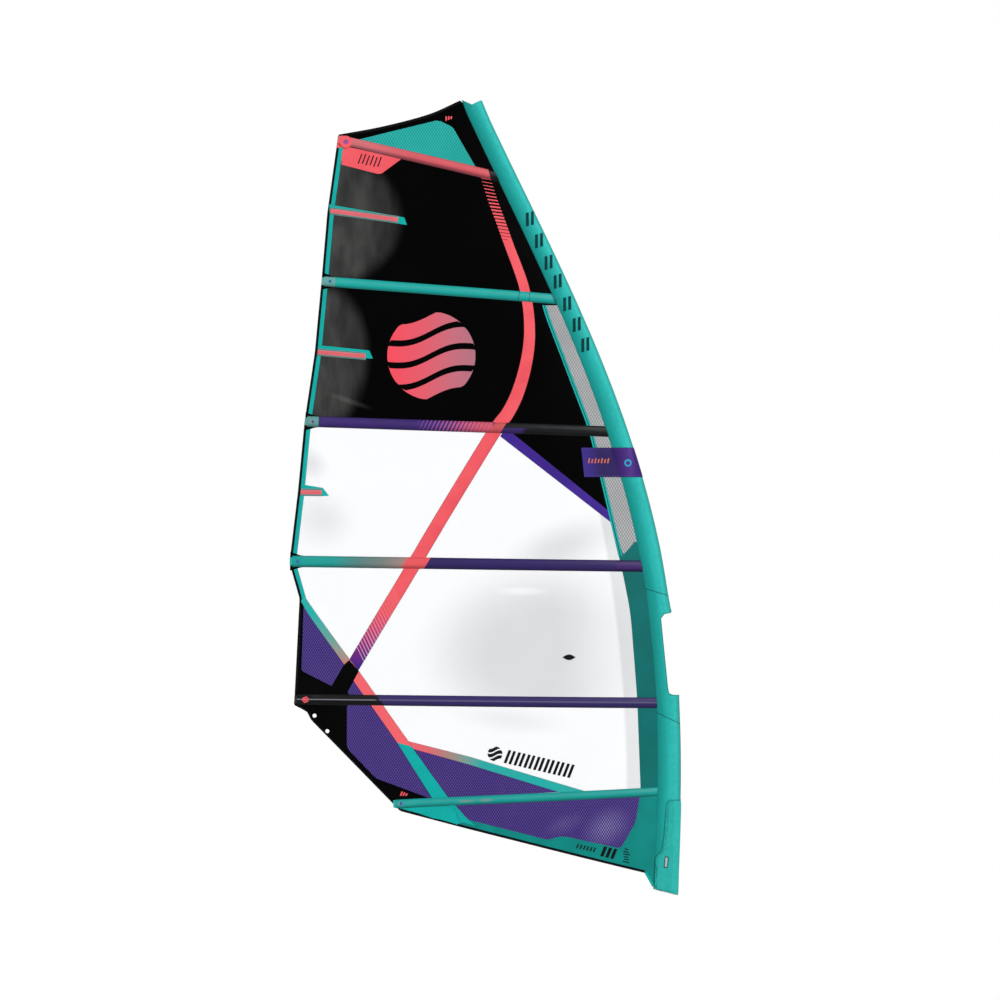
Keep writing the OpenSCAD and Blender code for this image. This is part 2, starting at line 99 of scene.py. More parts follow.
class Val:
    """A float socket with arithmetic."""

    def __init__(self, m, socket):
        self.m, self.o = m, socket

    def op(self, kind, *others):
        n = self.m.tree.nodes.new("ShaderNodeMath")
        n.operation = kind
        for i, v in enumerate((self, *others)):
            self.m.put(n.inputs[i], v)
        return Val(self.m, n.outputs[0])

    def __add__(self, v): return self.op("ADD", v)
    def __radd__(self, v): return self.op("ADD", v)
    def __sub__(self, v): return self.op("SUBTRACT", v)
    def __mul__(self, v): return self.op("MULTIPLY", v)
    def __rmul__(self, v): return self.op("MULTIPLY", v)
    def __truediv__(self, v): return self.op("DIVIDE", v)
    def __rsub__(self, v): return (self * -1) + v
    def abs(self): return self.op("ABSOLUTE")
    def frac(self): return self.op("FRACT")
    def sin(self): return self.op("SINE")
    def max(self, v): return self.op("MAXIMUM", v)
    def min(self, v): return self.op("MINIMUM", v)
    def pow(self, v): return self.op("POWER", v)
    def above(self, v): return self.op("GREATER_THAN", v)
    def below(self, v): return self.op("LESS_THAN", v)

    def step(self, a, b):
        """0 at a and 1 at b, smooth between; b may be less than a."""
        n = self.m.tree.nodes.new("ShaderNodeMapRange")
        n.interpolation_type = "SMOOTHSTEP"
        lo, hi, t0, t1 = (a, b, 0, 1) if a < b else (b, a, 1, 0)
        self.m.put(n.inputs["Value"], self)
        for key, v in zip(("From Min", "From Max", "To Min", "To Max"), (lo, hi, t0, t1)):
            n.inputs[key].default_value = v
        return Val(self.m, n.outputs["Result"])

    def ramp(self, *stops):
        """Colours along the value: (value, hex code) pairs."""
        lo, hi = stops[0][0], stops[-1][0]
        n = self.m.tree.nodes.new("ShaderNodeValToRGB")
        self.m.put(n.inputs[0], (self - lo) / (hi - lo))
        e = n.color_ramp.elements
        while len(e) < len(stops):
            e.new(0.5)
        for item, (v, code) in zip(e, stops):
            item.position = (v - lo) / (hi - lo)
            item.color = lin(code)
        return n.outputs[0]


class Mat:
    """A Principled material whose colour, roughness and bump vary over the piece."""

    def __init__(self, name, **sockets):
        self.m = bpy.data.materials.new(name)
        self.m.use_nodes = True
        self.tree = self.m.node_tree
        self.b = self.tree.nodes["Principled BSDF"]
        for key, v in sockets.items():
            self.b.inputs[key.replace("_", " ")].default_value = v
        co = self.tree.nodes.new("ShaderNodeTexCoord").outputs["Object"]
        sep = self.tree.nodes.new("ShaderNodeSeparateXYZ")
        self.tree.links.new(co, sep.inputs[0])
        self.co = co
        self.x, self.y, self.z = (Val(self, s) for s in sep.outputs)

    def put(self, socket, v):
        if isinstance(v, Val):
            self.tree.links.new(v.o, socket)
        elif isinstance(v, bpy.types.NodeSocket):
            self.tree.links.new(v, socket)
        elif isinstance(v, str):
            socket.default_value = lin(v)
        else:
            socket.default_value = v

    def attr(self, name):
        n = self.tree.nodes.new("ShaderNodeAttribute")
        n.attribute_name = name
        return Val(self, n.outputs["Fac"])

    def noise(self, scale, detail=3, stretch=(1, 1, 1)):
        mp = self.tree.nodes.new("ShaderNodeMapping")
        mp.inputs["Scale"].default_value = stretch
        self.tree.links.new(self.co, mp.inputs[0])
        n = self.tree.nodes.new("ShaderNodeTexNoise")
        n.inputs["Scale"].default_value = scale
        n.inputs["Detail"].default_value = detail
        n.inputs["Roughness"].default_value = 0.5
        self.tree.links.new(mp.outputs[0], n.inputs["Vector"])
        return Val(self, n.outputs[0])

    def mix(self, f, a, b):
        n = self.tree.nodes.new("ShaderNodeMix")
        n.data_type = "RGBA"
        self.put(n.inputs[0], f)
        self.put(n.inputs[6], a)
        self.put(n.inputs[7], b)
        return n.outputs[2]

    def hem(self, colour):
        """The colour with the dark cut edge of a strip: attribute rim is 1 at its edges."""
        return self.mix(self.attr("rim").step(0.925, 0.97) * 0.8, colour, "10191C")

    def base(self, colour):
        self.put(self.b.inputs["Base Color"], colour)

    def rough(self, lo, hi, scale=9):
        self.put(self.b.inputs["Roughness"], self.noise(scale, 4) * (hi - lo) + lo)

    def bump(self, height, depth):
        """height is 0..1, depth its size in metres."""
        n = self.tree.nodes.new("ShaderNodeBump")
        n.inputs["Distance"].default_value = depth
        n.inputs["Strength"].default_value = 0.7
        self.put(n.inputs["Height"], height)
        self.tree.links.new(n.outputs[0], self.b.inputs["Normal"])

    def weave(self, pitch):
        """Height of a plain weave of that thread pitch in metres."""
        a = (self.x * (math.pi / pitch)).sin().abs()
        b = (self.z * (math.pi / pitch)).sin().abs()
        return a.max(b)

    def grain(self):
        """The fine surface of a printed or laminated tape."""
        self.rough(0.32, 0.48)
        self.bump(self.weave(0.0016) * 0.6 + self.noise(300, 2) * 0.4, 0.00008)

    def yarns(self, pitch, width):
        """1 on a diamond grid of yarns."""
        a = ((self.x + self.z * YARN_LEAN) / pitch).frac() - 0.5
        b = ((self.x - self.z * YARN_LEAN) / pitch).frac() - 0.5
        return a.abs().min(b.abs()).step(width * 1.3, width * 0.7)

    def blob(self, cx, cz, rx, rz, turn=0.0, soft=0.6):
        """1 in the middle of a soft ellipse; millimetres and degrees."""
        c, s = math.cos(math.radians(turn)), math.sin(math.radians(turn))
        dx, dz = self.x - cx * MM, self.z - cz * MM
        u = (dx * c + dz * s) / (rx * MM)
        v = (dz * c - dx * s) / (rz * MM)
        return (u * u + v * v).pow(0.5).step(1.0, 1.0 - soft)


TEAL, CORAL = "08A8A2", "EC5C63"
YARN_LEAN = 0.62                # sideways run of the scrim's yarns for each unit of height


def film_black():
    """Black film with painted highlights: soft grey streaky places along the leech, one above and
    one below batten 2.
    """
    m = Mat("black_film", Specular_IOR_Level=0.025)
    streak = m.noise(9, 4, (1.0, 1, 0.35))
    # Painted highlight: grey streaky patches on the black film by the leech, above and below
    # batten 2.
    leech_highlight = m.blob(-2060, 4010, 490, 430, 0, 0.22) * (m.x.step(-1.55, -2.0) * 0.55 + 0.3)
    low = m.blob(-2060, 3200, 290, 460, 0, 0.3) * (m.x.step(-1.75, -2.05) * 0.5 + 0.25)
    low = low + m.blob(-1925, 2935, 180, 24, -19, 0.9) * 0.45
    leech_highlight = leech_highlight * m.z.above(3.63) + low * m.z.below(3.63)
    leech_highlight = leech_highlight * (streak.step(0.3, 0.7) * 0.65 + 0.5)
    m.base(m.mix(leech_highlight.min(1.0), m.mix(m.noise(2.4), "000000", "020203"), "4B4C4A"))
    m.rough(0.2, 0.34, 5)
    m.bump(m.noise(160, 2) * 0.6 + m.yarns(0.0125, 0.05) * 0.4, 0.00008)
    return m


def film_clear():
    """Clear film, with the soft grey of what it reflects: one large place in the middle window,
    smaller ones at its luff and leech, and a strip along the sleeve."""
    m = Mat("clear_film", Alpha=0.42, Specular_IOR_Level=0.3)
    middle = m.z.above(1.16) * m.z.below(1.965)
    grey = m.blob(-720, 1440, 880, 600, 0, 0.62) * (m.x.step(-0.30, -0.72) * 0.38 + 0.22)
    grey = grey - m.blob(-890, 1803, 190, 34, 0, 0.9) * 0.25
    grey = grey.max(0.0) * middle
    grey = grey + m.blob(-660, 2060, 460, 190, 22, 1.0) * m.z.above(1.965) * 0.5
    grey = grey + m.blob(-950, 1040, 430, 110, -6, 1.0) * 0.22 * m.z.below(1.16)
    grey = grey + m.blob(-2150, 2560, 150, 120, -40, 1.0) * 0.45
    grey = grey + m.blob(-2090, 2230, 270, 230, -20, 1.0) * 0.35
    w = m.z - 0.6
    luff = m.x - (w * w * -0.0568 - w * 0.0026 - 0.188)
    grey = grey + luff.step(-0.092, -0.066) * 0.4
    grey = grey.max(0.0) * (m.noise(2.6, 3) * 0.24 + 0.88)
    m.base(m.mix(grey.min(1.0), m.mix(m.noise(1.7), "FBFBFC", "F3F4F6"), "A2A4A7"))
    m.rough(0.1, 0.2, 4)
    m.bump(m.noise(90, 2), 0.00004)
    return m


def scrim(name, film, yarn, pitch=0.0145, width=0.17, tone=None, pale=None):
    """Printed film laminated over a diamond grid of yarns; pale is the colour of a paler place by
    the foot.
    """
    m = Mat(name, Specular_IOR_Level=0.1)
    y = m.yarns(pitch, width)
    under = m.mix(m.noise(4, 4).step(0.3, 0.8), film, tone or film)
    if pale:
        paler_place = m.blob(-390, 400, 190, 130, 35, 1.0) + m.blob(-640, 420, 160, 70, 20, 1.0) * 0.4
        under = m.mix(paler_place.min(1.0) * 0.75, under, pale)
    m.base(m.mix(y, under, yarn))
    m.rough(0.3, 0.45)
    m.bump(y, 0.0002)
    return m


def tape(name, code, dark, gloss_and_highlight=0.1):
    """A printed tape in one colour, with a dark cut edge."""
    m = Mat(name, Specular_IOR_Level=gloss_and_highlight)
    m.base(m.hem(m.mix(m.noise(7, 4).step(0.3, 0.85), code, dark)))
    m.grain()
    return m


def webbing(name, code, light):
    m = Mat(name, Sheen_Weight=0.04, Specular_IOR_Level=0.05)
    w = m.weave(0.0018)
    m.base(m.mix(w * 0.7 + m.noise(30, 3) * 0.3, code, light))
    m.rough(0.6, 0.8, 14)
    m.bump(w, 0.0003)
    return m


def plastic(name, code, wear_and_shade, grain=900):
    m = Mat(name, Specular_IOR_Level=0.4)
    n = m.noise(grain, 2)
    m.base(m.mix(m.noise(22, 4).step(0.35, 0.8), code, wear_and_shade))
    m.rough(0.35, 0.5, 40)
    m.bump(n, 0.00006)
    return m


def metal(name, code, lo=0.22, hi=0.38, tint="8E9196"):
    """Metal brushed along the height of the sail."""
    m = Mat(name, Metallic=1.0)
    brush = m.noise(260, 4, (1, 1, 14))
    m.base(m.mix(brush.step(0.3, 0.7), code, tint))
    m.put(m.b.inputs["Roughness"], brush * (hi - lo) + lo)
    m.bump(brush, 0.00003)
    return m


black_film = film_black()
clear_film = film_clear()
purple_scrim = scrim("purple_scrim", "544090", "2C1F5A", tone="5A4692", pale="9A8CC4")
black_patch = tape("black_laminate", "010101", "050506", 0.03)
teal_mesh = scrim("teal_mesh", "33B5AD", "0C8C85", pitch=0.016, width=0.14, tone="27A79F")
grey_mesh = scrim("grey_mesh", "B4B4B5", "858788", pitch=0.016, width=0.15, tone="A3A4A6")
teal_tape = tape("teal_tape", TEAL, "079A93")
teal_film = tape("teal_film", "05867F", "04766F")
# The luff panel's teal film, darkened further as painted shade from the sleeve.
luff_teal_and_shade = scrim("luff_teal_and_shade_film", "046C69", "046360", pitch=0.022, width=0.06, tone="045F5C")
coral_tape = tape("coral_tape", CORAL, "E24C57")
purple_tape = tape("purple_tape", "40248E", "331B78")
edge_web = webbing("black_webbing", "030304", "0E0F11")
dark_line = tape("dark_seam", "07302F", "0B3F3D")


# ------------------------------------------------------------------ shape of the sail
def lookup(t, table):
    """Straight lines between (t, value) pairs."""
    if t <= table[0][0]:
        return table[0][1]
    for (a, u), (b, v) in zip(table, table[1:]):
        if t <= b:
            return u + (v - u) * (t - a) / (b - a)
    return table[-1][1]


def clamp(v, lo=0.0, hi=1.0):
    return min(hi, max(lo, v))


def ease(v):
    """0 up to 0 and 1 from 1, smooth between."""
    v = clamp(v)
    return v * v * (3 - 2 * v)


# the sleeve, and its rounded front and back edges: the part's own dimensions
SLEEVE_W, SLEEVE_TAPER = 145, 5.2
FRONT_R, BACK_R = 32, 3.2


def front(z):
    """Front edge of the sleeve at height z."""
    k = z / 1000
    return 34 + 37.7 * k + 8.05 * k ** 2 - 32.4 * k ** 3 + 3.79 * k ** 4


def aft(z):
    """Back edge of the sleeve, where the panels are sewn on."""
    return front(z) - SLEEVE_W + SLEEVE_TAPER * z / 1000


def mast_x(z):
    return front(z) - FRONT_R


# leech by height, depth of the belly by height, and battens: leech end, luff end and half
# width of the pocket
LEECH = [(1125, -2245), (1165, -2240), (1760, -2210), (1970, -2270), (2390, -2220),
         (2810, -2180), (3215, -2120), (3640, -2080), (4050, -2045), (4515, -1980)]
DEPTH = [(0, 0.4), (700, 0.9), (1900, 1), (3500, 0.56), (4700, 0.16)]
BATTENS = [((-1983, 4486), (-1049, 4268), 29), ((-2080, 3644), (-702, 3538), 30),
           ((-2180, 2811), (-391, 2751), 32), ((-2270, 1980), (-184, 1951), 34),
           ((-2242, 1160), (-95, 1139), 32), ((-1655, 538), (-91, 612), 26)]
BELLY = 50


def leech(z):
    return lookup(z, LEECH)


def eased(z, table, r):
    """The table with its corners eased over r to each side."""
    return (lookup(z - r, table) + 2 * lookup(z, table) + lookup(z + r, table)) / 4


def depth(z):
    return BELLY * eased(z, DEPTH, 160)


def skin(x, z):
    """y of the middle of the film: no belly behind a line from the foot over the clew to the
    head, most of it two thirds of the way to the sleeve."""
    low = -1612 - 0.966 * (z - 495)
    high = -2245 + 0.0788 * (z - 1150)
    gap = clamp(1 - abs(low - high) / 80)
    ref = max(low, high) + 20 * gap * gap
    u = clamp((x - ref) / (aft(z) - ref))
    return -depth(z) * 6.75 * u * u * (1 - u)


class Batten:
    """A batten's line: s runs along it from the leech, h across it upwards."""

    def __init__(self, a, b, half):
        self.a, self.b, self.half = Vector(a), Vector(b), half
        self.length = (self.b - self.a).length
        self.d = (self.b - self.a) / self.length
        self.n = Vector((-self.d.y, self.d.x))

    def at(self, s, h=0.0):
        return tuple(self.a + self.d * s + self.n * h)

    def local(self, x, z):
        v = Vector((x, z)) - self.a
        return v.dot(self.d), v.dot(self.n)

    def luff(self, h, inset=0.0):
        """s where the line at h meets the sleeve's back edge."""
        s = self.length
        for _ in range(6):
            x, z = self.at(s, h)
            s += (aft(z) + inset - x) / self.d.x
        return s

    def leech(self, h, inset=0.0):
        """s where the line at h meets the leech."""
        s = 15
        for _ in range(6):
            x, z = self.at(s, h)
            s += (leech(z) + inset - x) / self.d.x
        return s


battens = [Batten(*b) for b in BATTENS]


def wrinkle(x, z):
    """Small waves of the film, none along the battens; the leech has the most."""
    calm = 1.0
    for b in battens:
        s, h = b.local(x, z)
        if -40 < s < b.length + 40:
            calm = min(calm, ease((abs(h) - b.half - 4) / 130))
    if not calm:
        return 0.0
    w = 3.0 * noise.noise(Vector((x / 420, z / 300, 3.1)))
    near = clamp(1 - (x - leech(max(z, 1130))) / 620) ** 1.4
    w += near * 6.5 * noise.noise(Vector(((x + z * 0.8) / 110, (z - x * 0.5) / 520, 7.7)))
    foot = clamp(1 - (z - 130) / 380)
    w += foot * 3.0 * noise.noise(Vector((x / 90, (z + x * 0.25) / 300, 5.2)))
    return w * calm * ease((aft(z) - x) / 90)


def cloth_y(x, z):
    return skin(x, z) + wrinkle(x, z)


def sleeve_y(x, z):
    """Half thickness of the sleeve at x, from its round front to its seam."""
    m, a = mast_x(z), aft(z) + BACK_R
    c = (BACK_R - FRONT_R) / (m - a)
    w = math.acos(c)
    x1, x2 = m + FRONT_R * c, a + BACK_R * c
    if x >= x1:
        return math.sqrt(max(0.0, FRONT_R ** 2 - (x - m) ** 2))
    if x >= x2:
        return (FRONT_R * (x - x2) + BACK_R * (x1 - x)) / (x1 - x2) * math.sin(w)
    return math.sqrt(max(0.0, BACK_R ** 2 - (x - a) ** 2))


# ------------------------------------------------------------------ mesh tools
made = {}


def mesh_object(name, verts, faces, mat, attrs=None, angle=38):
    me = bpy.data.meshes.new(name)
    me.from_pydata([(x * MM, y * MM, z * MM) for x, y, z in verts], [], faces)
    me.validate()
    for key, values in (attrs or {}).items():
        me.attributes.new(key, "FLOAT", "POINT").data.foreach_set("value", values)
    me.shade_smooth()
    me.set_sharp_from_angle(angle=math.radians(angle))
    me.materials.append(mat.m)
    o = bpy.data.objects.new(name, me)
    scene.collection.objects.link(o)
    made[name] = o
    return o


def tidy_normals(o):
    bm = bmesh.new()
    bm.from_mesh(o.data)
    bmesh.ops.recalc_face_normals(bm, faces=bm.faces)
    bm.to_mesh(o.data)
    bm.free()


def shell_of(name, outer, inner, mat, attrs=None, angle=50, wrap=False):
    """Closed solid between two grids of points with the same rows and columns; wrap joins the
    ends of each row."""
    r, c = len(outer), len(outer[0])
    n0 = r * c
    faces = []
    steps = [(i, (i + 1) % c) for i in range(c if wrap else c - 1)]
    for j in range(r - 1):
        for a, b in steps:
            q = (j * c + a, (j + 1) * c + a, (j + 1) * c + b, j * c + b)
            faces += [q, tuple(n0 + v for v in reversed(q))]
        for i in () if wrap else (0, c - 1):
            faces.append((j * c + i, (j + 1) * c + i, n0 + (j + 1) * c + i, n0 + j * c + i))
    for j in (0, r - 1):
        faces += [(j * c + a, j * c + b, n0 + j * c + b, n0 + j * c + a) for a, b in steps]
    o = mesh_object(name, [v for row in outer + inner for v in row], faces, mat,
                    {k: v * 2 for k, v in (attrs or {}).items()}, angle)
    tidy_normals(o)
    return o


def close_sheet(name, pts, faces, place, off, thick, mat, attrs=None):
    """Two faces and their rim: a thin closed sheet over the points (x, z).
    place gives (x, y, z) of a point at a height above the skin."""
    lo, hi = off - thick / 2, off + thick / 2
    n = len(pts)
    verts = [place(x, z, lo) for x, z in pts] + [place(x, z, hi) for x, z in pts]
    all_faces, edges = [], {}
    for f in faces:
        all_faces.append(tuple(f))
        all_faces.append(tuple(n + i for i in reversed(f)))
        for a, b in zip(f, f[1:] + f[:1]):
            edges[(a, b)] = True
    for a, b in edges:
        if (b, a) not in edges:
            all_faces.append((b, a, n + a, n + b))
    both = {k: list(v) * 2 for k, v in (attrs or {}).items()}
    return mesh_object(name, verts, all_faces, mat, both)


def turn(pts, face):
    """Twice the area of a face, above 0 where it runs anticlockwise on the visible side."""
    return sum(pts[a][0] * pts[b][1] - pts[b][0] * pts[a][1]
               for a, b in zip(face, face[1:] + face[:1]))


def facing(pts, faces):
    """The faces, all turned over if the first runs clockwise."""
    return [f[::-1] for f in faces] if turn(pts, faces[0]) < 0 else faces


def area_of(pts, faces):
    return abs(sum(turn(pts, f) for f in faces)) / 2 * 1e-6


def disc(cx, cz, r, n):
    """Outline of a circle from n points."""
    return [(cx + r * math.cos(g), cz + r * math.sin(g)) for g in
            (2 * math.pi * i / n for i in range(n))]


def length_of(path):
    return sum(math.dist(a, b) for a, b in zip(path, path[1:]))


def cut_size(pts, area):
    """Width and length in metres of the smallest rectangle the outline is cut from, or of an
    equal strip where the piece is long and bent."""
    best = None
    for k in range(36):
        c, s = math.cos(math.pi * k / 36), math.sin(math.pi * k / 36)
        u = [x * c + z * s for x, z in pts]
        v = [z * c - x * s for x, z in pts]
        w, h = (max(u) - min(u)) * MM, (max(v) - min(v)) * MM
        if best is None or w * h < best[0] * best[1]:
            best = (min(w, h), max(w, h))
    if area < 0.32 * best[0] * best[1]:
        length = math.hypot(*best)
        best = (area / length, length)
    return best


def finish_piece(o, slot, nodes=(), flat=None):
    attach(o, "sail")
    if nodes:
        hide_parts(*nodes)
    flat and min(flat) >= 0.01


def grid(rows):
    """Points and quads of rows of (x, z), each row running towards the luff, rows going up."""
    c = len(rows[0])
    pts = [p for row in rows for p in row]
    faces = [[j * c + i, j * c + i + 1, (j + 1) * c + i + 1, (j + 1) * c + i]
             for j in range(len(rows) - 1) for i in range(c - 1)]
    return pts, faces


def cut(outline, cell=CELL):
    """Points and faces of a closed outline, cut into cells; anticlockwise on the visible side."""
    if turn(outline, list(range(len(outline)))) < 0:
        outline = outline[::-1]
    bm = bmesh.new()
    bm.faces.new([bm.verts.new((x, 0, z)) for x, z in outline])
    for axis in (0, 2):
        vals = [v.co[axis] for v in bm.verts]
        k0, k1 = math.floor(min(vals) / cell) + 1, math.ceil(max(vals) / cell)
        no = Vector((1, 0, 0)) if axis == 0 else Vector((0, 0, 1))
        for k in range(k0, k1):
            bmesh.ops.bisect_plane(bm, geom=bm.verts[:] + bm.edges[:] + bm.faces[:],
                                   plane_co=no * (k * cell + 0.13), plane_no=no, dist=0.01)
    bm.verts.index_update()
    pts = [(v.co.x, v.co.z) for v in bm.verts]
    faces = [[v.index for v in f.verts] for f in bm.faces]
    bm.free()
    return pts, [f if turn(pts, f) > 0 else f[::-1] for f in faces]


def on_cloth(side):
    """Place a point at a height above the film, on one side of it."""
    return lambda x, z, h: (x, cloth_y(x, z) + side * h, z)


# thickness of the film, of a sewn tape and of a printed mark, and the height of each layer of
# tape above the middle of the film
FILM, TAPE, INK = 0.7, 0.45, 0.25
LEVEL = {1: 0.9, 2: 1.5, 3: 2.1, 4: 2.7}


def film(name, pts, faces, mat, slot, nodes=()):
    """A panel of film, in the middle of the sail's thickness."""
    o = close_sheet(name, pts, faces, lambda x, z, h: (x, cloth_y(x, z) + h, z), 0, FILM, mat)
    a = area_of(pts, faces)
    finish_piece(o, slot, nodes, flat=cut_size(pts, a))


def overlay(name, pts, faces, mat, slot, level=1, nodes=(), sides=SIDES, attrs=None, thick=TAPE,
            place=None):
    """The same patch sewn on each of the sides of the film."""
    a = area_of(pts, faces)
    for side, word in sides:
        f = faces if side == FAR else [q[::-1] for q in faces]
        o = close_sheet(f"{name}_{word}", pts, f, (place or on_cloth)(side), LEVEL[level], thick,
                        mat, attrs)
        finish_piece(o, slot, nodes, flat=cut_size(pts, a))


def patch(name, outline, mat, slot, level=1, nodes=(), sides=SIDES, cell=CELL, place=None,
          thick=TAPE):
    """A flat patch with that outline."""
    pts, faces = cut(outline, cell)
    overlay(name, pts, faces, mat, slot, level, nodes, sides, thick=thick, place=place)


def resample(path, n):
    """n + 1 even points along a path."""
    path = [Vector(p) for p in path]
    ls = [0.0]
    for a, b in zip(path, path[1:]):
        ls.append(ls[-1] + (b - a).length)
    out, k = [], 0
    for i in range(n + 1):
        t = ls[-1] * i / n
        while k < len(path) - 2 and ls[k + 1] < t:
            k += 1
        f = (t - ls[k]) / max(1e-9, ls[k + 1] - ls[k])
        out.append(tuple(path[k].lerp(path[k + 1], clamp(f))))
    return out


def curve(points, n):
    """n + 1 even points on a smooth curve through the points."""
    p = [Vector(q) for q in points]
    p = [2 * p[0] - p[1]] + p + [2 * p[-1] - p[-2]]
    fine = []
    for a, b, c, d in zip(p, p[1:], p[2:], p[3:]):
        for i in range(16):
            t = i / 16
            fine.append(0.5 * ((2 * b) + (c - a) * t + (2 * a - 5 * b + 4 * c - d) * t * t
                               + (3 * b - a - 3 * c + d) * t ** 3))
    fine.append(p[-2])
    return resample(fine, n)


def offset(path, w):
    """The path moved sideways by w, to its right."""
    out = []
    for j, p in enumerate(path):
        a, b = Vector(path[max(0, j - 1)]), Vector(path[min(len(path) - 1, j + 1)])
        d = (b - a).normalized()
        ww = w[j] if isinstance(w, list) else w
        out.append((p[0] + d.y * ww, p[1] - d.x * ww))
    return out


def band(name, left, right, mat, slot, level=1, nodes=(), across=3):
    """A strip between two edges that run the same way."""
    n = max(2, round(length_of(left) / CELL))
    if len(left) != len(right) or len(left) < n:
        left, right = resample(left, n), resample(right, n)
    rows = [[(a[0] + (b[0] - a[0]) * i / across, a[1] + (b[1] - a[1]) * i / across)
             for i in range(across + 1)] for a, b in zip(left, right)]
    pts, faces = grid(rows)
    rim = [abs(2 * i / across - 1) for _ in rows for i in range(across + 1)]
    overlay(name, pts, facing(pts, faces), mat, slot, level, nodes, attrs={"rim": rim})


# ------------------------------------------------------------------ film panels
def between(k):
    """Grid of the panel from batten k down to batten k + 1."""
    top, low = battens[k], battens[k + 1]
    ht, hl = -(top.half - 5), low.half - 5
    l1, l0 = top.at(top.leech(ht, 4), ht)[1], low.at(low.leech(hl, 4), hl)[1]
    r1, r0 = top.at(top.luff(ht, 2), ht)[1], low.at(low.luff(hl, 2), hl)[1]
    n, m = round((l1 - l0) / CELL), round(2000 / CELL)
    rows = []
    for j in range(n + 1):
        zl, zr = l0 + (l1 - l0) * j / n, r0 + (r1 - r0) * j / n
        xl, xr = leech(zl) + 4, aft(zr) + 2
        rows.append([(xl + (xr - xl) * i / m, zl + (zr - zl) * i / m) for i in range(m + 1)])
    return grid(rows)


film("film_upper", *between(0), black_film, "black_film", ("panel_upper",))
film("film_lower", *between(1), black_film, "black_film", ("panel_lower",))
film("clear_upper", *between(2), clear_film, "clear_film", ("window_upper",))
film("clear_middle", *between(3), clear_film, "clear_film", ("window_middle",))

head_edge = curve([(-1980, 4513), (-1720, 4561), (-1448, 4632), (-1257, 4716)], 24)
b0 = battens[0]


def luff_line(z0, z1, inset):
    """Points along the sleeve's back edge."""
    n = max(1, round(abs(z1 - z0) / 90))
    return [(aft(z0 + (z1 - z0) * i / n) + inset, z0 + (z1 - z0) * i / n) for i in range(n + 1)]


top_r = b0.at(b0.luff(24, 2), 24)
film("film_head", *cut([b0.at(b0.leech(24, 4), 24)] + [top_r] + luff_line(top_r[1] + 40, 4700, 9)
                       + head_edge[::-1]), black_film, "black_film", ("head_panel",))

CLEW = [(-2167, 1087), (-2142, 1038)]
b5, b6 = battens[4], battens[5]
low_r, hi_r = b6.at(b6.luff(21, 2), 21), b5.at(b5.luff(-27, 2), -27)
film("clear_lower", *cut([(-2243, 1133), (-2244, 1126), *CLEW, (-1676, 560), b6.at(40, 21), low_r]
                         + luff_line(low_r[1] + 60, hi_r[1] - 40, 2) + [hi_r]),
     clear_film, "clear_film", ("window_lower",))
foot_r = b6.at(b6.luff(-21, 2), -21)
foot_edge = curve([(-1612, 497), (-1250, 402), (-880, 309), (-500, 214), (-163, 131)], 30)
film("film_foot", *cut([b6.at(20, -21), (-1613, 498)] + foot_edge[1:] + [(-113, 42)]
                       + luff_line(60, foot_r[1] - 30, 2) + [foot_r]),
     teal_film, "teal_scrim", ("foot_panel",))

# ------------------------------------------------------------------ edges of the sail
# section of a folded tape, across the edge and through the film, and the tape's width
TAPE_W = 36
FOLD = [(14, -1.5), (7, -1.7), (0, -1.5), (-1.1, -0.8), (-1.4, 0), (-1.1, 0.8), (0, 1.5), (7, 1.7),
        (14, 1.5), (14, 0.7), (0.6, 0.7), (0.6, -0.7), (14, -0.7)]


def binding(name, path, nodes, wide=1.0, mat=edge_web, slot="black_webbing"):
    """Tape folded round an edge; the sail lies to the right of the path."""
    loops = []
    for j, (p, inner) in enumerate(zip(path, offset(path, 1.0))):
        dx, dz = inner[0] - p[0], inner[1] - p[1]
        pucker = 1 + 0.12 * math.sin(j * 2.1)
        loops.append([(p[0] + dx * t * wide, cloth_y(*p) + y * pucker, p[1] + dz * t * wide)
                      for t, y in FOLD])
    c, r = len(FOLD), len(loops)
    faces = [(j * c + i, j * c + (i + 1) % c, (j + 1) * c + (i + 1) % c, (j + 1) * c + i)
             for j in range(r - 1) for i in range(c)]
    faces += [tuple(range(c - 1, -1, -1)), tuple((r - 1) * c + i for i in range(c))]
    o = mesh_object(name, [v for loop in loops for v in loop], faces, mat)
    tidy_normals(o)
    finish_piece(o, slot, nodes, flat=(TAPE_W * MM * wide, length_of(path) * MM))


leech_z = [1134 + (4508 - 1134) * j / 150 for j in range(151)]
binding("leech_edge", [(leech(z), z) for z in leech_z], ("leech_binding",))
binding("head_edge", head_edge, ("head_binding",))
binding("foot_edge", foot_edge[::-1], ("foot_binding",))
binding("tack_edge", resample([(-116, 48), (-160, 128)], 5), (), 1.0, teal_tape, "teal_tape")
binding("clew_edge", resample([(-1616, 500), (-2142, 1038), (-2167, 1087), (-2243, 1127)], 40),
        (), 0.6)


# ------------------------------------------------------------------ sewn tapes and patches
tape_z = [1755 + (4470 - 1755) * j / 110 for j in range(111)]
band("leech_tape", [(leech(z) + 13.5, z) for z in tape_z], [(leech(z) + 38, z) for z in tape_z],
     teal_tape, "teal_tape", 2, across=2)

# head: open mesh in a black frame
patch("head_mesh", [(-1880, 4480), (-1400, 4597), (-1370, 4592), (-1310, 4562), (-1296, 4548),
                    (-1165, 4322)], teal_mesh, "teal_scrim", 1)
# coral field under the top batten
patch("head_field", [(-1962, 4462), (-1962, 4336), (-1745, 4280), (-1722, 4284), (-1610, 4366),
                     (-1640, 4396)], coral_tape, "coral_tape", 1)

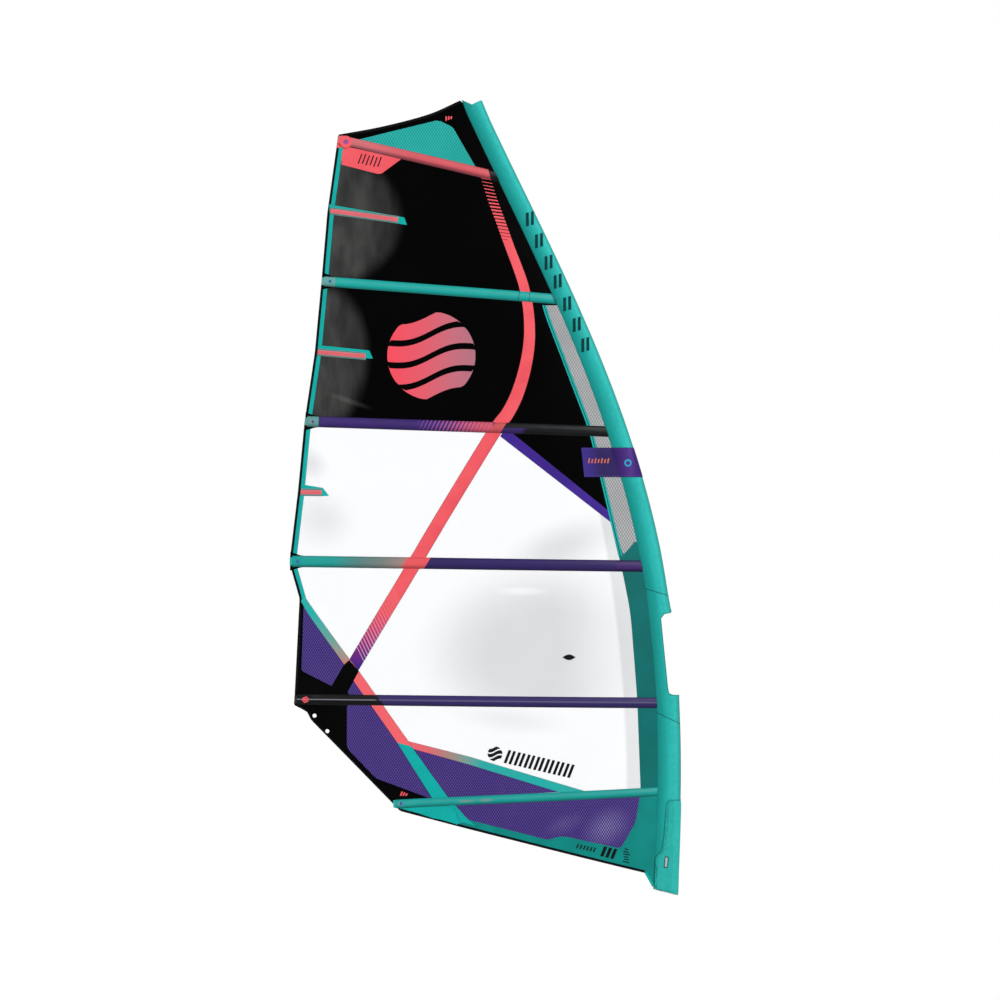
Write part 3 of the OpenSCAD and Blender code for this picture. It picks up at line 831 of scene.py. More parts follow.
# clew: black laminate with scrim let in
kink_r = curve([(-2187, 1781), (-2110, 1668), (-1924, 1412), (-1855, 1323), (-1700, 1104),
                (-1574, 926), (-1543, 884)], 44)
kink_l = curve([(-2203, 1741), (-2136, 1632), (-1944, 1363), (-1890, 1269), (-1740, 1058),
                (-1633, 905), (-1600, 860)], 44)
black_clew = ([(leech(z) + 4, z) for z in (1140, 1250, 1400, 1550, 1700, 1755)]
              + kink_r[2:-1:3] + [(-1590, 915), (-1555, 870), (-1400, 640), (-1360, 572)]
              + [(-1665, 552), *CLEW[::-1], (-2242, 1129)])
patch("clew_laminate", black_clew, black_patch, "black_laminate", 1, ("clew_patch",))


def rounded(points, r):
    """The outline with its corners rounded."""
    out, n = [], 4
    for a, b, c in zip(points[-1:] + points[:-1], points, points[1:] + points[:1]):
        a, b, c = Vector(a), Vector(b), Vector(c)
        k = min(r, (a - b).length * 0.45, (c - b).length * 0.45)
        p, q = b + (a - b).normalized() * k, b + (c - b).normalized() * k
        for i in range(n + 1):
            t = i / n
            out.append(tuple(p * (1 - t) ** 2 + b * (2 * t * (1 - t)) + q * t * t))
    return out


patch("scrim_upper", rounded([(-2187, 1722), (-2200, 1330), (-2014, 1236), (-1944, 1363)], 16),
      purple_scrim, "purple_cloth", 2)
patch("scrim_wedge", rounded([(-1890, 1269), (-1926, 1200), (-1910, 1186), (-1832, 1187)], 8),
      purple_scrim, "purple_cloth", 2)
patch("scrim_clew", rounded([(-1929, 1126), (-1790, 1126), (-1630, 905), (-1426, 568),
                             (-1757, 691), (-1919, 859), (-1930, 885)], 14),
      purple_scrim, "purple_cloth", 2)
patch("scrim_tack", [(-1560, 880), (-1200, 788), (-640, 614), (-1345, 572)],
      purple_scrim, "purple_cloth", 1)
patch("scrim_foot", [(-1295, 560), (-1279, 505), (-1212, 446), (-760, 333), (-733, 328),
                     (-690, 340), (-660, 347), (-618, 344), (-330, 281), (-312, 280), (-297, 289),
                     (-222, 420), (-212, 450), (-196, 552), (-186, 600), (-700, 578)],
      purple_scrim, "purple_cloth", 1)


# tapes of the clew
def grade(name, ramp_of):
    """A tape whose colour runs along it."""
    m = Mat(name, Specular_IOR_Level=0.3)
    m.base(m.hem(m.mix(m.noise(7, 4).step(0.35, 0.95) * 0.25, ramp_of(m), "5A6A6A")))
    m.grain()
    return m


kink_mat = grade("kink_tape", lambda m: m.z.ramp((1.28, CORAL), (1.36, "E8625F"), (1.40, "A98A7C"),
                                                 (1.52, "5F9C93"), (1.66, TEAL), (1.8, TEAL)))
band("kink_tape", kink_l, kink_r, kink_mat, "teal_tape", 3, ("clew_strap",))
foot_mat = grade("foot_tape", lambda m: m.x.ramp((-1.62, "E8606A"), (-1.45, "DD5F66"),
                                                 (-1.28, "8F8A80"), (-1.13, TEAL), (-0.5, TEAL)))
band("foot_tape", [(-1588, 918), (-1200, 820), (-521, 618)],
     [(-1545, 868), (-1200, 772), (-660, 607)], foot_mat, "teal_tape", 2, ("foot_strap",))
band("clew_tape", [(-1633, 905), (-1424, 571), (-1283, 505), (-1275, 470), (-1255, 432)],
     [(-1545, 880), (-1327, 578), (-1215, 452), (-1180, 425), (-1160, 408)],
     teal_tape, "teal_tape", 4)
# teal field at the lower leech corner, over the foot
patch("foot_corner", [(-1600, 497), (-1280, 414), (-1215, 448), (-1262, 500), (-1330, 560),
                      (-1600, 545)], teal_tape, "teal_tape", 1)

# power band: bars that grow into a whole band, and thin out again over the clew
band_line = curve([(-1103, 4250), (-1062, 4120), (-1012, 3985), (-960, 3840), (-918, 3730),
                   (-878, 3609), (-851, 3461), (-846, 3300), (-870, 3134), (-918, 2974),
                   (-976, 2857), (-1040, 2772), (-1190, 2530), (-1390, 2200), (-1590, 1862),
                   (-1700, 1680), (-1880, 1378), (-1935, 1286)], 206)
band_half = [27 + 13 * ease((4000 - z) / 1300) for _, z in band_line]
DAWN, DUSK = 26, 174            # where the bars join up and where they part, along band_line
left, right = offset(band_line, [-w for w in band_half]), offset(band_line, band_half)
band("power_band", left[DAWN - 2:DUSK], right[DAWN - 2:DUSK], coral_tape, "coral_tape", 2,
     ("power_band",), across=4)


def tail_mat():
    """The band's end over the clew, from coral to violet."""
    m = Mat("magenta_tape", Specular_IOR_Level=0.1)
    m.base(m.hem(m.z.ramp((1.36, "3E2280"), (1.47, "7A2470"), (1.58, "A83A68"),
                          (1.68, "D2505F"))))
    m.grain()
    return m


def rose_mat():
    """The pale bars over the band's end."""
    m = Mat("rose_tape", Specular_IOR_Level=0.1)
    m.base(m.z.ramp((1.36, "9C93C0"), (1.46, "C58FB4"), (1.58, "E2708A"), (1.68, "EC6068")))
    m.rough(0.32, 0.48)
    m.bump(m.weave(0.0016), 0.00008)
    return m


band("power_tail", left[DUSK - 1:], right[DUSK - 1:], tail_mat(), "coral_tape", 2)


def stripes(name, path, half, spacing, grow, mat, slot, level, lean=0.0):
    """Bars across a path, each bar as wide as grow says."""
    n = round(length_of(path) / spacing)
    centre = resample(path, n)
    pts, faces = [], []
    for j in range(n):
        a, b = Vector(centre[j]), Vector(centre[j + 1])
        d = (b - a).normalized()
        side = Vector((d.y, -d.x))
        t = grow(j / max(1, n - 1)) / 2
        k = len(pts)
        for i in range(5):
            off = side * (half * (i / 2 - 1)) + d * (lean * (i / 2 - 1))
            pts += [tuple(a + off - d * t), tuple(a + off + d * t)]
        faces += [[k + 2 * i, k + 2 * i + 1, k + 2 * i + 3, k + 2 * i + 2] for i in range(4)]
    overlay(name, pts, facing(pts, faces), mat, slot, level, thick=INK)


stripes("band_dawn", band_line[:DAWN + 1], 27, 22, lambda t: 3 + 17 * t, coral_tape,
        "coral_tape", 2, -14)
stripes("band_dusk", band_line[DUSK - 4:-9], 38, 23, lambda t: 21 - 15 * t, rose_mat(),
        "coral_tape", 3, -25)

# strips along the sleeve
EDGE = [(180, -166), (632, -188), (1171, -208), (1679, -248), (1922, -296), (2754, -492),
        (3502, -777)]


def edge_x(z):
    """Back edge of the strips along the sleeve."""
    return eased(z, EDGE, 70)


def luff_strip(name, z0, z1, left, right, mat, slot, level, nodes=(), across=3):
    """A strip between two edges given as x by height."""
    n = max(3, round((z1 - z0) / 45))
    zs = [z0 + (z1 - z0) * j / n for j in range(n + 1)]
    band(name, [(left(z), z) for z in zs], [(right(z), z) for z in zs], mat, slot, level, nodes,
         across=across)


# black corner over the upper window, edged with purple
BLACK_CORNER = [(-980, 2766)] + [(edge_x(z) + 16, z) for z in (2752, 2650, 2500, 2350, 2215)]
patch("black_corner", BLACK_CORNER, black_film, "black_film", 1)
band("purple_edge", [(-985, 2772), (-355, 2263)], [(-1020, 2722), (-340, 2194)], purple_tape,
     "purple_cloth", 2)

luff_strip("luff_tape", 2010, 3500, edge_x, lambda z: edge_x(z) + 25, teal_tape, "teal_tape", 3,
           across=2)
luff_strip("luff_line", 2010, 3500, lambda z: edge_x(z) + 10, lambda z: edge_x(z) + 14, dark_line,
           "teal_tape", 4, across=1)
luff_strip("luff_mesh", 2095, 3500, lambda z: edge_x(z) + 22, lambda z: aft(z) + 3, grey_mesh,
           "grey_scrim", 2, ("luff_strip",))
patch("luff_tip", [(edge_x(2097) + 22, 2097), (-290, 2024), (-282, 2026), (-238, 2075),
                   (-222, 2097)], grey_mesh, "grey_scrim", 2)
# Luff panel along the sleeve: teal film of its own, darker with painted shade.
luff_strip("luff_base", 590, 2200, lambda z: edge_x(z) + 2, lambda z: aft(z) + 3, luff_teal_and_shade,
           "teal_scrim", 1)


# ------------------------------------------------------------------ small pieces on the film
def bars(name, items, mat, slot, level, sides=SIDES, place=None):
    """Slanted bars (centre x, z, width, height, lean of the top, turn in degrees)."""
    pts, faces = [], []
    for cx, cz, w, h, lean, turn in items:
        c, s = math.cos(math.radians(turn)), math.sin(math.radians(turn))
        k = len(pts)
        for j in range(4):
            v = h * (j / 3 - 0.5)
            for i in range(3):
                u = w * (i / 2 - 0.5) + lean * (j / 3 - 0.5)
                pts.append((cx + u * c - v * s, cz + u * s + v * c))
        faces += [[k + j * 3 + i, k + j * 3 + i + 1, k + j * 3 + i + 4, k + j * 3 + i + 3]
                  for j in range(3) for i in range(2)]
    overlay(name, pts, faces, mat, slot, level, (), sides, thick=INK, place=place)


def wave_disc(name, cx, cz, r, count, mat, slot, level, sides=SIDES, place=None):
    """A round patch cut into bands by waves."""
    pts, faces = [], []
    pitch = 2 * r / count
    cols = 30

    def wave(x, z):
        z += 0.18 * pitch * math.sin(3.3 * x / r) + 0.22 * x
        lim = math.sqrt(max(0.0, r * r - x * x))
        return clamp(z, -lim, lim)

    for j in range(count):
        lo, hi = -r + pitch * (j + 0.14), -r + pitch * (j + 0.86)
        k = len(pts)
        for i in range(cols + 1):
            x = -r * math.cos(math.pi * i / cols) * 0.998
            a, b = wave(x, lo), wave(x, hi)
            pts += [(cx + x, cz + a), (cx + x, cz + (a + b) / 2), (cx + x, cz + b)]
        for i in range(cols):
            for q in (0, 1):
                f = [k + 3 * i + q, k + 3 * i + 3 + q, k + 3 * i + 4 + q, k + 3 * i + 1 + q]
                if abs(pts[f[0]][1] - pts[f[3]][1]) + abs(pts[f[1]][1] - pts[f[2]][1]) > 0.4:
                    faces.append(f)
    used = sorted({v for f in faces for v in f})
    new = {v: i for i, v in enumerate(used)}
    overlay(name, [pts[v] for v in used], [[new[v] for v in f] for f in faces], mat, slot, level,
            (), sides, thick=INK, place=place)


def emblem_mat():
    """Ink that fades from coral to a dull rose."""
    m = Mat("emblem_ink", Specular_IOR_Level=0.08)
    m.base(m.x.ramp((-1.70, "F04A5A"), (-1.48, "DE5A68"), (-1.3, "C26A78"), (-1.16, "A86E7C")))
    m.rough(0.35, 0.5)
    m.bump(m.noise(240, 2), 0.00005)
    return m


emblem = emblem_mat()
dark_ink = tape("dark_ink", "0C1413", "141D1C", 0.05)
wave_disc("emblem_main", -1428, 3200, 262, 4, emblem, "coral_tape", 2)
wave_disc("emblem_window", -1050, 838, 44, 3, dark_ink, "black_webbing", 1, NEAR_ONLY)
bars("marks_window", [(-962 + 58 * i + (14 if j else -14), 818 - 13.3 * i - (3 if j else -3),
                       17, 82, 12, -12.9) for i in range(7) for j in (0, 1)],
     dark_ink, "black_webbing", 1, NEAR_ONLY)
oval = [(-611 + 42 * math.cos(g), 1411 + 17 * math.sin(g) ** 3)
        for g in (2 * math.pi * i / 24 for i in range(24))]
patch("window_mark", oval, dark_ink, "black_webbing", 1, (), NEAR_ONLY)
bars("marks_foot", [(-560 + 20 * i, 290 - 4.6 * i, 9, 26, 5, -13) for i in range(6)]
     + [(-405 + 30 * i, 258 - 7 * i, 19, 62, 10, -13) for i in range(3)], dark_ink,
     "black_webbing", 2)
bars("marks_tack", [(-272 + 3 * (i % 2), 195 + 15 * i, 40 - 8 * (i % 3), 6, 0, -13)
                    for i in range(6)], dark_ink, "black_webbing", 2, NEAR_ONLY)
bars("mark_clew", [(-1606 + 15 * i, 600 - 3 * i, 9, 26 - 5 * i, 6, -10) for i in range(3)],
     coral_tape, "coral_tape", 2)
bars("mark_head", [(-1340 + 15 * i, 4609 + 3 * i, 9, 24 - 4 * i, 5, 14) for i in range(3)],
     coral_tape, "coral_tape", 2)
bars("marks_field", [(-1840 + 46 * i + (12 if j else -12), 4370 - 9 * i, 7, 62, 8, -13)
                     for i in range(3) for j in (0, 1)], dark_ink, "black_webbing", 2)
# black laminate over the crossing of the kink tape and the power band
patch("kink_cross", rounded([(-1917, 1394), (-1858, 1328), (-1922, 1212), (-1980, 1216),
                             (-2020, 1238), (-1950, 1363)], 5), black_patch, "black_laminate", 4)
# gussets beside each tensioner, where there is room; coral at the top one
for k, b in enumerate(battens):
    for s, word in ((1, "top"), (-1, "low")):
        if (k, s) in ((0, 1), (4, -1), (5, -1)):
            continue
        outline = [(3, s * (b.half + 22)), (62, s * (b.half + 3)), (112, s * (b.half - 5)),
                   (112, s * (b.half - 10)), (72, s * 20), (3, s * 20)]
        mat, slot = (black_patch, "black_laminate") if k else (coral_tape, "coral_tape")
        patch(f"gusset_{k + 1}_{word}", [b.at(*q) for q in outline], mat, slot, 3)


HOUSING_TOP = 11.2              # half thickness of a housing with the pocket's cloth over it


def over_housing(k):
    """Place a point at a height above the flat side of a tensioner's housing."""
    base_y = skin(*battens[k].at(38))
    return lambda side: lambda x, z, h: (x, base_y + side * (HOUSING_TOP + h), z)


# round cover over the top batten's tensioner, and small printed marks on the others
patch("cap_cover", disc(-1936, 4471, 36, 28), coral_tape, "coral_tape", 1, place=over_housing(0),
      thick=0.8, cell=18)
violet = tape("violet_ink", "5A4FA8", "8C7CC0", 0.08)
wave_disc("cap_emblem", -1936, 4471, 15, 3, violet, "purple_cloth", 2, place=over_housing(0))
blue_ink = tape("blue_ink", "2E4C8C", "4A6CB0", 0.08)
for k, (x, z) in ((1, (-2030, 3642)), (2, (-2132, 2809)), (3, (-2222, 1979)), (5, (-1607, 541))):
    patch(f"cap_dot_{k + 1}", disc(x, z, 9, 16), blue_ink, "purple_cloth", 1,
          place=over_housing(k), cell=12)
wave_disc("cap_emblem_5", -2176, 1158, 20, 3, coral_tape, "coral_tape", 1, place=over_housing(4))

# short pockets of the leech: height, length and slope of the batten, outline of the patch
MINI = [(4061, 405, -7.6), (3222, 285, -4.9), (2391, 125, -1)]
MINI_PATCH = [[(-2034, 4102), (-2020, 4097), (-1589, 4022), (-1573, 3977), (-2034, 4044)],
              [(-2096, 3263), (-2084, 3262), (-1797, 3232), (-1775, 3183), (-2106, 3205)],
              [(-2198, 2437), (-2182, 2434), (-2073, 2416), (-2036, 2368), (-2207, 2368)]]


def mini_mat():
    """Coral over the batten, slate cloth beside it."""
    m = Mat("mini_cloth", Sheen_Weight=0.04, Specular_IOR_Level=0.15)
    h, s = m.attr("h"), m.attr("s")
    c = m.mix(h.abs().step(0.0118, 0.0132), m.mix(m.noise(9), "E46A72", "C9585F"), "6F9794")
    c = m.mix((h.abs() - 0.0172).abs().step(0.0022, 0.0010) * 0.75, c, "173B3C")
    c = m.mix(s.step(-0.006, -0.003), c, "12A097")
    m.base(c)
    m.rough(0.4, 0.55)
    m.bump(m.weave(0.0013), 0.00012)
    return m


mini_cloth = mini_mat()
for k, (z0, length, tilt) in enumerate(MINI):
    patch(f"mini_patch_{k + 1}", rounded(MINI_PATCH[k], 3), teal_tape, "teal_tape", 3)
    a = Vector((leech(z0) + 20, z0))
    d = Vector((math.cos(math.radians(tilt)), math.sin(math.radians(tilt))))
    n = Vector((-d.y, d.x))
    rows, under, att = [], [], {"s": [], "h": []}
    count = max(6, round(length / 18))
    for j in range(count + 1):
        s = -4 + (length + 4) * j / count
        close = ease((length - s) / 13)
        top, low = [], []
        for i in range(-8, 9):
            h = i / 8
            p = a + d * s + n * (h * 22)
            q = a + d * s
            base_y = skin(*q) * (1 - abs(h)) + cloth_y(*p) * abs(h)
            up = 3.4 + (5.9 * close) * (1 - abs(h) ** 2.2) ** 0.8
            top.append((p.x, base_y - up, p.y))
            low.append((p.x, base_y - up + 0.6, p.y))
            att["s"].append((s - length) * MM)
            att["h"].append(h * 0.022)
        rows.append(top)
        under.append(low)
    o = shell_of(f"mini_pocket_{k + 1}", rows, under, mini_cloth, att)
    finish_piece(o, "teal_cloth", ("mini_pockets",), flat=(0.052, length * MM))


def pierce(piece, spots, radius):
    """Round holes through a flat piece, at points (x, z)."""
    for x, z in spots:
        bm = bmesh.new()
        bmesh.ops.create_cone(bm, cap_ends=True, segments=32, radius1=radius * MM,
                              radius2=radius * MM, depth=0.05)
        me = bpy.data.meshes.new("drill")
        bm.to_mesh(me)
        bm.free()
        drill = bpy.data.objects.new("drill", me)
        drill.rotation_euler = (math.radians(90), 0, 0)
        drill.location = (x * MM, cloth_y(x, z) * MM, z * MM)
        scene.collection.objects.link(drill)
        hole = piece.modifiers.new("hole", "BOOLEAN")
        hole.object = drill
        hole.operation = "DIFFERENCE"
        hole.solver = "EXACT"
        bpy.context.view_layer.objects.active = piece
        bpy.ops.object.modifier_apply(modifier=hole.name)
        bpy.data.objects.remove(drill)


EYELETS, EYELET_R = [(-2122, 1063), (-2046, 971)], 13.6
for name in ("clear_lower", "clew_laminate_star", "clew_laminate_port"):
    pierce(made[name], EYELETS, EYELET_R)


# ------------------------------------------------------------------ batten pockets
def pocket_mat(name, colour, half, gloss_and_highlight):
    """Cloth of a pocket: attributes s and h are metres along and across it, edge is 1 at its
    sewn edges."""
    m = Mat(name, Sheen_Weight=0.03, Specular_IOR_Level=0.16)
    s, h, rib = m.attr("s"), m.attr("h"), m.attr("edge")
    c = colour(m, s, h)
    wear_and_shade = m.noise(11, 4).step(0.35, 0.9) * 0.08
    c = m.mix(wear_and_shade, c, "30363A")
    # Painted shade: the lower side of every pocket darker.
    c = m.mix((h / half).step(-0.15, -0.9) * 0.42, c, "020406")
    # Painted highlight: a pale band just above the middle of the pocket, as strong as the last
    # argument says.
    c = m.mix(((h / half) - 0.22).abs().step(0.5, 0.0) * gloss_and_highlight, c, "C8D4DA")
    stitch = (s / 0.0042).frac().above(0.42) * (rib - 0.84).abs().below(0.035)
    c = m.mix(rib.step(0.93, 1.0) * 0.55, c, "0A1413")
    c = m.mix(stitch * 0.6, c, "101416")
    m.base(c)
    m.rough(0.3, 0.42)
    thread = math.pi / 0.0013
    m.bump((s * thread).sin().abs().max((h * thread).sin().abs()) * 0.5 + stitch * 0.5, 0.0002)
    return m


def crossing(s, h, s0, s1):
    """1 on a seam across the pocket, between two slanted lines; millimetres."""
    t, soft = s - h * 0.12, 0.0015
    return t.step(s0 * MM - soft, s0 * MM + soft) * t.step(s1 * MM + soft, s1 * MM - soft)


def end_patch(s):
    """1 over the reinforced cloth of a pocket's leech end."""
    return s.step(0.083, 0.081)


def end_mark(s, h):
    """1 on the small printed square of the leech end."""
    return (s - 0.046).abs().below(0.013) * h.abs().below(0.010)


def colour_1(m, s, h):
    """Coral with painted shade on its lower side, black from the luff panel on."""
    # Painted shade: the lower half of the pocket a darker coral.
    c = m.mix(h.step(-0.002, -0.014), "D0575F", "AC4852")
    c = m.mix(s.step(0.5, 0.1) * 0.3, c, "C88C90")
    dark = (h + s * 0.033).step(-0.0195, -0.0215) * s.step(0.42, 0.40)
    c = m.mix(dark, c, "A03A45")
    return m.mix((s - h * 0.18).step(0.9235, 0.9265), c, "020203")


def colour_2(m, s, h):
    """Teal, with seams where the band crosses and at the sleeve."""
    c = m.mix(m.noise(5), "0FA8A0", "0B9A92")
    c = m.mix(end_patch(s), c, "5E9F99")
    line = crossing(s, h, 1172, 1177) + crossing(s, h, 1236, 1241)
    return m.mix((line + s.step(1.3775, 1.379)).min(1.0), c, "0A6A66")


def colour_3(m, s, h):
    """Purple, growing bars towards the coral band, then black."""
    c = m.mix(m.noise(5), "3C2470", "33205F")
    t = (s - h * 0.45) / 0.0235
    grow = s.step(0.62, 1.10)
    bars = (t.frac() - 0.5).abs().below(grow * 0.40 + 0.06) * s.step(0.66, 0.70)
    c = m.mix(bars * s.below(1.118), c, m.mix(grow, "7A4AA0", "CC5566"))
    c = m.mix((s - h * 0.45).step(1.105, 1.125), c, "C24E50")
    c = m.mix((s - h * 0.6).step(1.178, 1.182), c, m.mix(h.step(0.001, 0.003), "33205F", "020203"))
    c = m.mix((s - h * 0.6).step(1.29, 1.33), c, "020203")
    c = m.mix(end_patch(s), c, "5A968F")
    c = m.mix(end_mark(s, h) * 0.7, c, "B08A88")
    line = (h.abs() - 0.011).abs().below(0.0012) * s.above(1.33)
    return m.mix(line * 0.5, c, "26262A")


def colour_4(m, s, h):
    """Teal that fades to rose, the coral band, then purple."""
    t = s - h * 0.6
    c = t.ramp((0.0, "0A9A93"), (0.26, "1C948C"), (0.40, "4E7E7A"), (0.54, "707A76"),
               (0.66, "96807A"), (0.69, "AA7E76"))
    c = m.mix(t.step(0.680, 0.684), c, "E2545A")
    c = m.mix(t.step(0.816, 0.820), c, m.mix(m.noise(5), "301E60", "291A54"))
    # Painted shading on the purple end: lighter along the middle, darker towards both edges of the
    # pocket.
    return m.mix(s.step(1.935, 1.940), c, m.mix(h.abs().step(0.016, 0.026), "3A1F62", "221048"))


def colour_5(m, s, h):
    """Black over the clew, then purple scrim, with painted highlight lines along it."""
    t = s + h * 0.7
    c = m.mix(m.yarns(0.0145, 0.15), m.mix(m.noise(5), "3E3070", "362A66"), "241A4C")
    c = m.mix(t.step(0.512, 0.509), c, "020203")
    # Painted highlight: a pale line along the middle of the pocket, strong near the leech end and
    # long and faint beyond it.
    light = (h - 0.001).abs().step(0.0045, 0.001) * s.step(0.5, 0.47)
    long = (h - 0.002).abs().step(0.007, 0.002) * s.above(0.5)
    return m.mix((light * 0.5 + long * 0.16).min(1.0), c, "A9A9B4")


def colour_6(m, s, h):
    """Teal with two warm places."""
    c = m.mix(m.noise(5), "0FA098", "0B8F88")
    warm = m.blob(-1105, 562, 60, 14, 3, 0.9) + m.blob(-1220, 556, 70, 12, 3, 0.9)
    c = m.mix(end_mark(s, h) * 0.6, c, "9A7A76")
    return m.mix(warm.min(1.0) * 0.45, c, "9A8A86")


def pocket(k, colour, slot, gloss_and_highlight=0.04):
    """Hollow lens of cloth from the tensioner to the sleeve, sewn flat along both edges."""
    b, start = battens[k], 15
    end = b.length + (11 if k == 0 else 6)
    n = max(20, round((end - start) / (22)))
    ts = [i / 10 for i in range(-10, 11)]
    hs = [math.copysign(abs(t) ** 0.85, t) for t in ts]
    lean = (b.luff(20) - b.luff(-20)) / 40
    rings, inner, att = [], [], {"s": [], "h": [], "edge": []}
    for j in range(n + 1):
        s = start + (end - start) * j / n
        box = ease((150 - s) / 66)
        out_end = ease((s - end + 60) / 60)
        swell = 1 + 0.035 * noise.noise(Vector((s / 60, k * 9.1, 0))) - 0.12 * out_end
        loop, inn = [], []
        for side in (NEAR, FAR):
            for h in (hs if side == NEAR else hs[::-1][1:-1]):
                p = 2.0 + 5 * box
                crown = (1 - abs(h) ** p) ** (0.72 - 0.2 * box)
                ruck = 0.35 * noise.noise(Vector((s / 16, h * 2, k + side))) * (1 - abs(h)) * 2
                d = 1.5 + (7.9 * swell + 1.7 * box) * crown + ruck
                hh = h * b.half
                x, z = b.at(s + lean * hh * ease((s - end + 200) / 200), hh)
                xm, zm = b.at(s, 0)
                y = skin(xm, zm) + (skin(x, z) - skin(xm, zm)) * abs(h)
                loop.append((x, y + side * d, z))
                inn.append((x - 0.6 * h * b.n.x, y + side * (d - 0.7), z - 0.9 * h * b.n.y))
                att["s"].append(s * MM)
                att["h"].append(hh * MM)
                att["edge"].append(abs(h))
        rings.append(loop)
        inner.append(inn)
    name = f"pocket_cloth_{k + 1}"
    o = shell_of(name, rings, inner, pocket_mat(name, colour, b.half * MM, gloss_and_highlight), att, wrap=True)
    finish_piece(o, slot, (f"pocket_{k + 1}",),
                 flat=(4.3 * b.half * MM, (end - start) * MM))


pocket(0, colour_1, "coral_cloth", 0.0)
pocket(1, colour_2, "teal_cloth")
pocket(2, colour_3, "purple_cloth", 0.008)
pocket(3, colour_4, "purple_cloth", 0.006)
pocket(4, colour_5, "purple_cloth", 0.004)
pocket(5, colour_6, "teal_cloth")


# ------------------------------------------------------------------ mast sleeve
def sleeve_material():
    """The same cloth, with painted shading round it: painted shade along the seam at its back and
    at its front edge, a painted highlight over the mast.
    """
    m = Mat("sleeve_cloth", Sheen_Weight=0.06, Sheen_Roughness=0.4, Specular_IOR_Level=0.14)
    t = m.attr("t")
    # Painted shading by length round the sleeve: painted shade by the back seam and at the front
    # edge, a painted highlight over the mast.
    wear_and_shade = t.ramp((0.0, "088680"), (0.02, "0C9089"), (0.05, "18A39D"), (0.085, "2CBCB5"),
                  (0.11, "30BFB8"), (0.135, "2AA79E"), (0.152, "2A958C"), (0.164, "1D756E"))
    tone = m.noise(3.2, 4) * 0.5 + m.noise(38, 3) * 0.5
    m.base(m.mix(tone.step(0.3, 0.8) * 0.35, wear_and_shade, "118078"))
    m.rough(0.42, 0.6)
    m.bump(m.weave(0.0011), 0.00012)
    return m


sleeve_cloth = sleeve_material()


def profile(z):
    """Half outline of the sleeve at z: f(length from the front) gives x, y and the normal."""
    m, a = mast_x(z), aft(z) + BACK_R
    R, q = FRONT_R, BACK_R
    w = math.acos((q - R) / (m - a))
    l1 = R * w
    l2 = math.sqrt((m - a) ** 2 - (R - q) ** 2)
    l3 = q * (math.pi - w)

    def f(t):
        if t < l1:
            c, s = math.cos(t / R), math.sin(t / R)
            return m + R * c, R * s, c, s
        c, s = math.cos(w), math.sin(w)
        if t < l1 + l2:
            k = (t - l1) / l2
            return (m + R * c) * (1 - k) + (a + q * c) * k, (R * (1 - k) + q * k) * s, c, s
        g = w + (t - l1 - l2) / q
        return a + q * math.cos(g), q * math.sin(g), math.cos(g), math.sin(g)

    return f, l1 + l2 + l3


def reach(f, total, x):
    """Length from the front at which the outline comes back to x."""
    lo, hi = 0.0, total
    if f(0)[0] <= x:
        return 0.0
    for _ in range(30):
        mid = (lo + hi) / 2
        lo, hi = (mid, hi) if f(mid)[0] > x else (lo, mid)
    return lo


# the boom's opening: x of its edge by height, and the heights of the rings round it; the tilt of
# the seams by height; the sleeve's top edge by x; heights of the seams beside the opening
CUT = [(1183, 90), (1184, 6), (1194, -16), (1222, -24), (1640, -66), (1668, -46), (1676, -8),
       (1695, 90)]
CUT_Z = [1183.2, 1183.6, 1184, 1187, 1190.5, 1194, 1202, 1211, 1222, 1260, 1310, 1360, 1410, 1460,
         1510, 1560, 1600, 1625, 1640, 1650, 1659, 1668, 1671, 1674, 1676, 1681, 1686, 1690, 1694]
SHEAR = [(700, 0), (1049, -0.48), (1175, 0), (1700, 0), (1797, -0.3), (2050, 0)]
TOP = [(-1257, 4725), (-1187, 4692), (-1137, 4716)]
SEAMS = (1049, 1797)


SLEEVE_T = 1.1                  # thickness of the sleeve's cloth
OPEN_SHARE = 0.72               # cloth left of the length that holds the opening


def in_cut(z):
    return CUT[0][0] < z < CUT[-1][0]


def folds(t, total, z, side):
    """Height of the sleeve's soft folds above the plain outline, in mm."""
    u = t / total
    f = 1.3 * noise.noise(Vector((t / 60, z / 420, 2.0 + side))) * ease(u * 3)
    f += 0.9 * noise.noise(Vector((t / 26, z / 160, 5.0 + side))) * ease(u * 2.2)
    for s in SEAMS:
        f += 1.1 * noise.noise(Vector((t / 17, z / 70, s))) * math.exp(-abs(z - s) / 45)
    for b in battens:
        zb = b.b.y
        near = math.exp(-((z - zb) / 55) ** 2) * ease((u - 0.45) * 3)
        f += 2.6 * near + 1.8 * math.exp(-abs(z - zb) / 150) * noise.noise(
            Vector((t / 22, (z - zb) / 60, zb))) * ease((u - 0.2) * 2)
    pad = ease((640 - z) / 60)
    return f * (1 - pad * ease((90 - t) / 20)) * ease((total - t) / 12)


